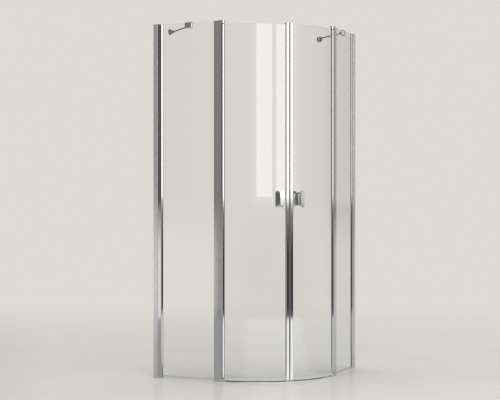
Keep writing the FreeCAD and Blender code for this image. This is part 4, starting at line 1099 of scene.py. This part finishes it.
@dataclass(frozen=True)
class Door:
    """A curved glass door with its closing profile, seals and end caps."""

    plan: Plan
    arris: float = 0.0005
    glass_steps: int = 96
    slot_half: float = 0.0048
    slot_depth: float = 0.010
    width: float = 0.0185
    depth: float = 0.018
    back_corner: float = 0.0038
    front_corner: float = 0.0045
    corner_steps: int = 10
    magnet_half: float = 0.004
    magnet_seat: float = 0.004
    magnet_proud: float = 0.002
    meeting_gap: float = 0.0003
    cap_rim: float = 0.001
    glass_start: float = -0.0015
    glass_end: float = 0.0123

    def _turn_from_front(self, along: float) -> float:
        """Degrees on the arc of a point that far along from the stile's axis."""
        return math.degrees(math.asin(along / self.plan.arc_radius)) - 90

    def _turn_from_meeting(self, before: float) -> float:
        """Degrees on the arc of a point that far before the plane where the doors meet."""
        return -DIAGONAL - math.degrees(math.asin(before / self.plan.arc_radius))

    def _section(self) -> tuple[float, float, float]:
        """The closing profile's back and front from where the doors meet, and half depth."""
        front = -self.meeting_gap - self.magnet_proud
        return front - self.width, front, self.depth / 2

    def glass(self) -> Shell:
        """The curved glass: a thin upright strip turned about the doors' arc centre.

        Returns:
            The left-hand piece.
        """
        heights = self.plan.extent("door_glass")[3]
        radius, half = self.plan.arc_radius, self.plan.glass_half
        profile = block((radius - half, radius + half), heights, self.arris, self.arris, 2)
        path = round_path(
            self.plan.arc_x, self.plan.arc_y, self._turn_from_meeting(self.glass_end),
            self._turn_from_front(self.glass_start), self.glass_steps)
        return Shell().sweep(profile, path)

    def closing_caps(self) -> Shell:
        """The caps on the closing profile's two ends, with softened outer rims.

        Returns:
            The left-hand piece.
        """
        bottom, top = self.plan.extent("closing_caps")[3]
        inner_bottom, inner_top = self.plan.extent("closing_profile")[3]
        back, front, half = self._section()
        profile = block(
            (back, front), (-half, half), self.back_corner, self.front_corner,
            self.corner_steps)
        place = self.plan.meeting()
        shell = Shell().prism(profile, place, bottom, inner_bottom, (self.cap_rim, 0.0))
        return shell.prism(profile, place, inner_top, top, (0.0, self.cap_rim))

    def closing_profile(self) -> Shell:
        """The rounded profile on the free edge, with its glass slot and magnet seat.

        Returns:
            The left-hand piece.
        """
        heights = self.plan.extent("closing_profile")[3]
        back, front, half = self._section()
        seat = front - self.magnet_seat
        floor = back + self.slot_depth
        sharp = self.arris / 2
        profile = eased([
            (back, -half, self.back_corner), (front, -half, self.front_corner),
            (front, -self.magnet_half, sharp), (seat, -self.magnet_half, sharp),
            (seat, self.magnet_half, sharp), (front, self.magnet_half, sharp),
            (front, half, self.front_corner), (back, half, self.back_corner),
            (back, self.slot_half, sharp), (floor, self.slot_half, sharp),
            (floor, -self.slot_half, sharp), (back, -self.slot_half, sharp)],
            self.corner_steps)
        return Shell().sweep(profile, self.plan.meeting().straight(heights))


# ---------------------------------------------------------------- bracing

@dataclass(frozen=True)
class BraceClamp:
    """The clamp over the fixed glass's top edge, with the fork that holds the rod."""

    plan: Plan
    pad: float = 0.0008
    corner: float = 0.005
    front_rim: float = 0.0038
    soft: float = 0.0004
    ear: float = 0.004
    ear_gap: float = 0.0086
    knuckle: float = 0.008
    hair: float = 0.00005

    def clamp(self) -> Shell:
        """Both jaws, the bridge over the glass and the two ears of the fork.

        Returns:
            The left-hand piece.
        """
        low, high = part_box("left_brace_clamp")
        rod_low, rod_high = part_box("left_brace_rod")
        pane_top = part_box("left_fixed_glass")[1].z
        middle, half = (low.x + high.x) / 2, (high.x - low.x) / 2
        inside = self.plan.glass_half + self.pad
        outside = self.plan.glass - low.y
        face = block((-half, half), (low.z, high.z), self.corner, self.corner, steps=8)
        shell = Shell()
        front = Place.on_wall(middle, self.plan.glass, 0.0)
        back = Place.on_wall(middle, self.plan.glass, 180.0)
        shell.prism(face, front, inside, outside, (self.soft, self.front_rim), steps=8)
        shell.prism(face, back, inside, outside, (self.soft, self.front_rim), steps=8)
        bridge_half = half - self.corner
        bridge = block(
            (-bridge_half, bridge_half), (pane_top + self.pad, high.z - self.hair),
            self.soft, self.soft, steps=3)
        shell.prism(bridge, front, -inside - self.soft, inside + self.soft, (0.0, 0.0))
        level = (rod_low.z + rod_high.z) / 2
        root = Place.on_plan(middle, self.plan.glass + outside, 90.0)
        reach = high.y - (self.plan.glass + outside)
        ear = block(
            (-2 * self.soft, reach), (-self.knuckle, self.knuckle), self.soft, self.knuckle,
            steps=12)
        for start in (level - self.ear_gap / 2 - self.ear, level + self.ear_gap / 2):
            shell.prism(ear, root, start, start + self.ear, (self.soft, self.soft), steps=3)
        return shell


# ---------------------------------------------------------------- studio

@dataclass(frozen=True)
class Lamp:
    """A soft upright panel of light that faces the enclosure.

    The azimuth is in degrees from straight in front, towards +X; the radiance says how
    bright its face is, and 1 is white.
    """

    name: str
    azimuth: float
    distance: float
    bottom: float
    size: Span
    radiance: float

    def build(self) -> None:
        """Hang the panel where only dull surfaces take its light."""
        data = bpy.data.lights.new(self.name, "AREA")
        data.shape = "RECTANGLE"
        data.size, data.size_y = self.size
        data.energy = self.radiance * math.pi * self.size[0] * self.size[1]
        lamp = linked(self.name, data)
        angle = math.radians(self.azimuth)
        middle = self.bottom + self.size[1] / 2
        lamp.location = (
            self.distance * math.sin(angle), -self.distance * math.cos(angle), middle)
        lamp.rotation_euler = (math.radians(90), 0.0, angle)
        lamp.visible_camera = False
        lamp.visible_glossy = False
        lamp.visible_transmission = False


def share(azimuth: float) -> float:
    """An azimuth in degrees as a share of the whole turn, 0.5 in front."""
    return azimuth / 360 + 0.5


@dataclass(frozen=True)
class Tones:
    """Brightness by azimuth, in degrees from straight in front, towards +X."""

    stops: tuple[Span, ...]

    def socket(self, wiring: Wiring) -> Socket:
        """The brightness at a point's azimuth.

        Args:
            wiring: the material's node tree.

        Returns:
            The brightness, even from stop to stop.
        """
        ramp = wiring.node("ValToRGB", Fac=wiring.azimuth())
        elements = ramp.color_ramp.elements
        while len(elements) < len(self.stops):
            elements.new(0.5)
        for element, (azimuth, tone) in zip(elements, self.stops):
            element.position = share(azimuth)
            element.color = (tone, tone, tone, 1.0)
        return ramp.outputs["Color"]


@dataclass(frozen=True)
class Window:
    """A bright pane in the ring of cards.

    It lies between two azimuths in degrees from straight in front, towards +X, and
    between two heights.
    """

    azimuths: Span
    heights: Span = (1.03, 3.6)
    tone: float = 2.9

    def inside(self, wiring: Wiring) -> Socket:
        """One on the pane and zero elsewhere."""
        return wiring.math(
            "MULTIPLY", wiring.within(wiring.azimuth(), *map(share, self.azimuths)),
            wiring.within(wiring.height(), *self.heights))


@dataclass(frozen=True)
class Reflectors:
    """A ring of grey and white cards with two windows, which only mirrors see.

    The cards above eye level end in a plain ceiling, and those below it fade to the tone
    of `seam` at eye level.
    """

    radius: float = 6.0
    top: float = 4.5
    eye_level: float = 0.95
    below: float = 0.5
    seam: float = 0.25
    seam_half: float = 0.03
    ceiling: float = 0.16
    ceiling_fade: Span = (3.3, 4.4)
    upper: Tones = Tones((
        (-180, 0.6), (-138, 0.45), (-128, 0.05), (-60, 0.12), (-33, 0.11), (-27, 0.08),
        (-24.5, 0.2), (-21, 0.23), (12, 0.2), (21, 0.85), (40, 0.95), (78, 0.95), (88, 0.2),
        (148, 0.2), (157, 0.38), (168, 0.38), (180, 0.6)))
    lower: Tones = Tones((
        (-180, 0.55), (-138, 0.5), (-128, 0.08), (-75, 0.1), (-50, 0.75), (-21.35, 0.8),
        (-21.15, 0.24), (-5, 0.2), (5, 0.12), (14, 0.035), (90, 0.05), (125, 0.45), (180, 0.55)))
    tint: Colour = (1.0, 0.97, 0.93)
    windows: tuple[Window, ...] = (Window((24.0, 45.0)), Window((50.5, 69.0)))

    def build(self) -> None:
        """A ring of quads, radius times (sin a, -cos a), and its ceiling."""
        circle = self.radius * np.stack([np.sin(CIRCLE), -np.cos(CIRCLE)], axis=1)
        count = len(circle)
        heights = np.repeat([0.0, self.top], count)[:, None]
        points = np.hstack([np.vstack([circle, circle]), heights])
        first = np.arange(count)
        after = np.roll(first, -1)
        walls = np.stack([after, first, first + count, after + count], axis=1)
        mesh = bpy.data.meshes.new("reflectors")
        faces = walls.tolist() + [(first + count)[::-1].tolist()]
        mesh.from_pydata(points.tolist(), [], faces)
        ring = linked("reflectors", mesh)
        ring.visible_camera = False
        ring.visible_diffuse = False
        ring.visible_shadow = False
        mesh.materials.append(self._material())

    def _material(self) -> bpy.types.Material:
        """Brightness by azimuth and height, from Object coordinates.

        Returns:
            The material, which shows only in polished surfaces.
        """
        wiring = Wiring.material("reflectors")
        height = wiring.height()
        above = self.upper.socket(wiring)
        under = self.lower.socket(wiring)
        sink = wiring.ranged(height, 1.0, 0.0, self.below, self.eye_level)
        low = wiring.mix_values(sink, self.seam, under)
        lift = wiring.ranged(
            height, 0.0, 1.0, self.eye_level - self.seam_half, self.eye_level + self.seam_half)
        wall = wiring.mix_values(lift, low, above)
        near_top = wiring.ranged(height, 0.0, 1.0, *self.ceiling_fade)
        tone = wiring.mix_values(near_top, wall, self.ceiling)
        for window in self.windows:
            tone = wiring.mix_values(window.inside(wiring), tone, window.tone)
        light = wiring.shader("Emission", Color=(*self.tint, 1.0), Strength=tone)
        return wiring.finish_card(wiring.shader("BsdfTransparent"), light)


@dataclass(frozen=True)
class Studio:
    """The floor, the lamps, the pale surroundings and the camera."""

    backdrop: Colour = (0.73, 0.70, 0.67)
    ambient: float = 0.92
    ambient_colour: Colour = (1.0, 0.99, 0.98)
    floor_colour: Colour = (0.84, 0.825, 0.81)
    floor_least: float = 0.985
    floor_gloss: Span = (0.2, 0.26)
    floor_mottle: float = 1.5
    floor_radius: float = 40.0
    floor_drop: float = 0.0006
    floor_fade: Span = (1.6, 5.0)
    mirrored: Tones = Tones((
        (-180, 0.55), (-140, 0.45), (-125, 0.2), (-60, 0.32), (5, 0.34), (15, 0.98),
        (80, 0.98), (92, 0.3), (130, 0.45), (180, 0.55)))
    mirrored_reach: Span = (4.1, 4.6)
    cards: Reflectors = Reflectors()
    camera_place: tuple[float, float, float] = (2.618, -6.897, 0.954)
    camera_yaw: float = 25.09
    sensor: float = 36.0
    sight: float = 100.0
    focal_pixels: float = 1293.2
    centre_x: float = 160.0
    horizon_y: float = 204.75
    image: tuple[int, int] = (500, 400)
    lamps: tuple[Lamp, ...] = (
        Lamp("left_lamp", 36.0, 4.5, 1.02, (1.5, 2.7), 2.3),
        Lamp("right_lamp", 58.0, 4.5, 1.02, (1.5, 2.7), 2.3),
        Lamp("left_fill", -75.0, 4.5, 0.9, (1.4, 2.4), 1.0),
    )

    def build(self) -> None:
        """Set up everything round the enclosure."""
        bpy.context.scene.view_settings.view_transform = "Standard"
        self._camera()
        self._world()
        self._floor()
        self.cards.build()
        for lamp in self.lamps:
            lamp.build()

    def _camera(self) -> None:
        """A level camera from which the photograph's lines fall where they do there."""
        data = bpy.data.cameras.new("camera")
        data.sensor_width = self.sensor
        data.lens = self.focal_pixels / self.image[0] * self.sensor
        data.shift_x = (self.image[0] / 2 - self.centre_x) / self.image[0]
        data.shift_y = (self.horizon_y - self.image[1] / 2) / self.image[0]
        data.clip_end = self.sight
        camera = linked("camera", data)
        camera.location = self.camera_place
        camera.rotation_euler = (math.radians(90), 0.0, math.radians(self.camera_yaw))
        bpy.context.scene.camera = camera

    def _world(self) -> None:
        """A pale surround for the eye and for reflections, and a plain ambient light."""
        world = bpy.data.worlds.new("surround")
        bpy.context.scene.world = world
        wiring = Wiring(world)
        lighting = wiring.shader(
            "Background", Color=(*self.ambient_colour, 1.0), Strength=self.ambient)
        shown = wiring.shader("Background", Color=(*self.backdrop, 1.0))
        wiring.node(
            "OutputWorld", Surface=wiring.mix_shaders(wiring.seen(), lighting, shown))

    def _floor(self) -> None:
        """A pale floor that takes the shadow and melts into the surround far away."""
        ring = np.stack([np.cos(CIRCLE), np.sin(CIRCLE), 0 * CIRCLE], axis=1)
        points = ring * self.floor_radius - [0.0, 0.0, self.floor_drop]
        mesh = bpy.data.meshes.new("floor")
        mesh.from_pydata(points.tolist(), [], [list(range(len(points)))])
        floor = linked("floor", mesh)
        mesh.materials.append(self._floor_material())

    def _floor_material(self) -> bpy.types.Material:
        """A faintly glossy pale coat that gives way to the surround's colour far off.

        Polished surfaces see plain cards on it, bright at the right and grey elsewhere,
        and farther off the same tones as low on the ring of cards.

        Returns:
            The material.
        """
        wiring = Wiring.material("floor")
        mottle = wiring.noise((self.floor_mottle,) * 3)
        coat = wiring.shader(
            "BsdfPrincipled",
            Base_Color=wiring.worn(mottle, self.floor_colour, self.floor_least),
            Roughness=wiring.ranged(mottle, *self.floor_gloss))
        glow = wiring.shader("Emission", Color=(*self.backdrop, 1.0))
        reach = wiring.reach()
        distance = wiring.ranged(reach, 0.0, 1.0, *self.floor_fade)
        fade = wiring.math("MULTIPLY", distance, wiring.seen())
        close = wiring.ranged(reach, 1.0, 0.0, *self.mirrored_reach)
        tones = wiring.mix_values(
            close, self.cards.lower.socket(wiring), self.mirrored.socket(wiring))
        card = wiring.shader("Emission", Strength=tones)
        return wiring.finish_card(wiring.mix_shaders(fade, coat, glow), card)


def main() -> None:
    """Build the studio and every sub-assembly in order."""
    logging.basicConfig(level=logging.INFO, format="%(name)s: %(message)s")
    plan = Plan.measured()
    workshop = Workshop(Palette())
    Studio().build()

    panel = FixedPanel(plan)
    workshop.pair(panel.wall_profile(), "wall_profile", Slot.PROFILE)
    workshop.pair(panel.glass(), "fixed_glass", Slot.GLASS)
    workshop.pair(panel.end_profile(), "end_profile", Slot.PROFILE)

    post = HingePost(plan)
    workshop.pair(post.hinge_profile(), "hinge_profile", Slot.PROFILE)
    workshop.pair(post.stile(), "door_stile", Slot.PROFILE, on_door=True)

    door = Door(plan)
    workshop.pair(door.glass(), "door_glass", Slot.GLASS, on_door=True)
    workshop.pair(door.closing_profile(), "closing_profile", Slot.PROFILE, on_door=True)
    workshop.pair(door.closing_caps(), "closing_caps", Slot.CAP, on_door=True)

    clamp = BraceClamp(plan)
    workshop.pair(clamp.clamp(), "brace_clamp", Slot.CHROME)

    workshop.keep_the_rest()


if __name__ == "__main__":
    main()
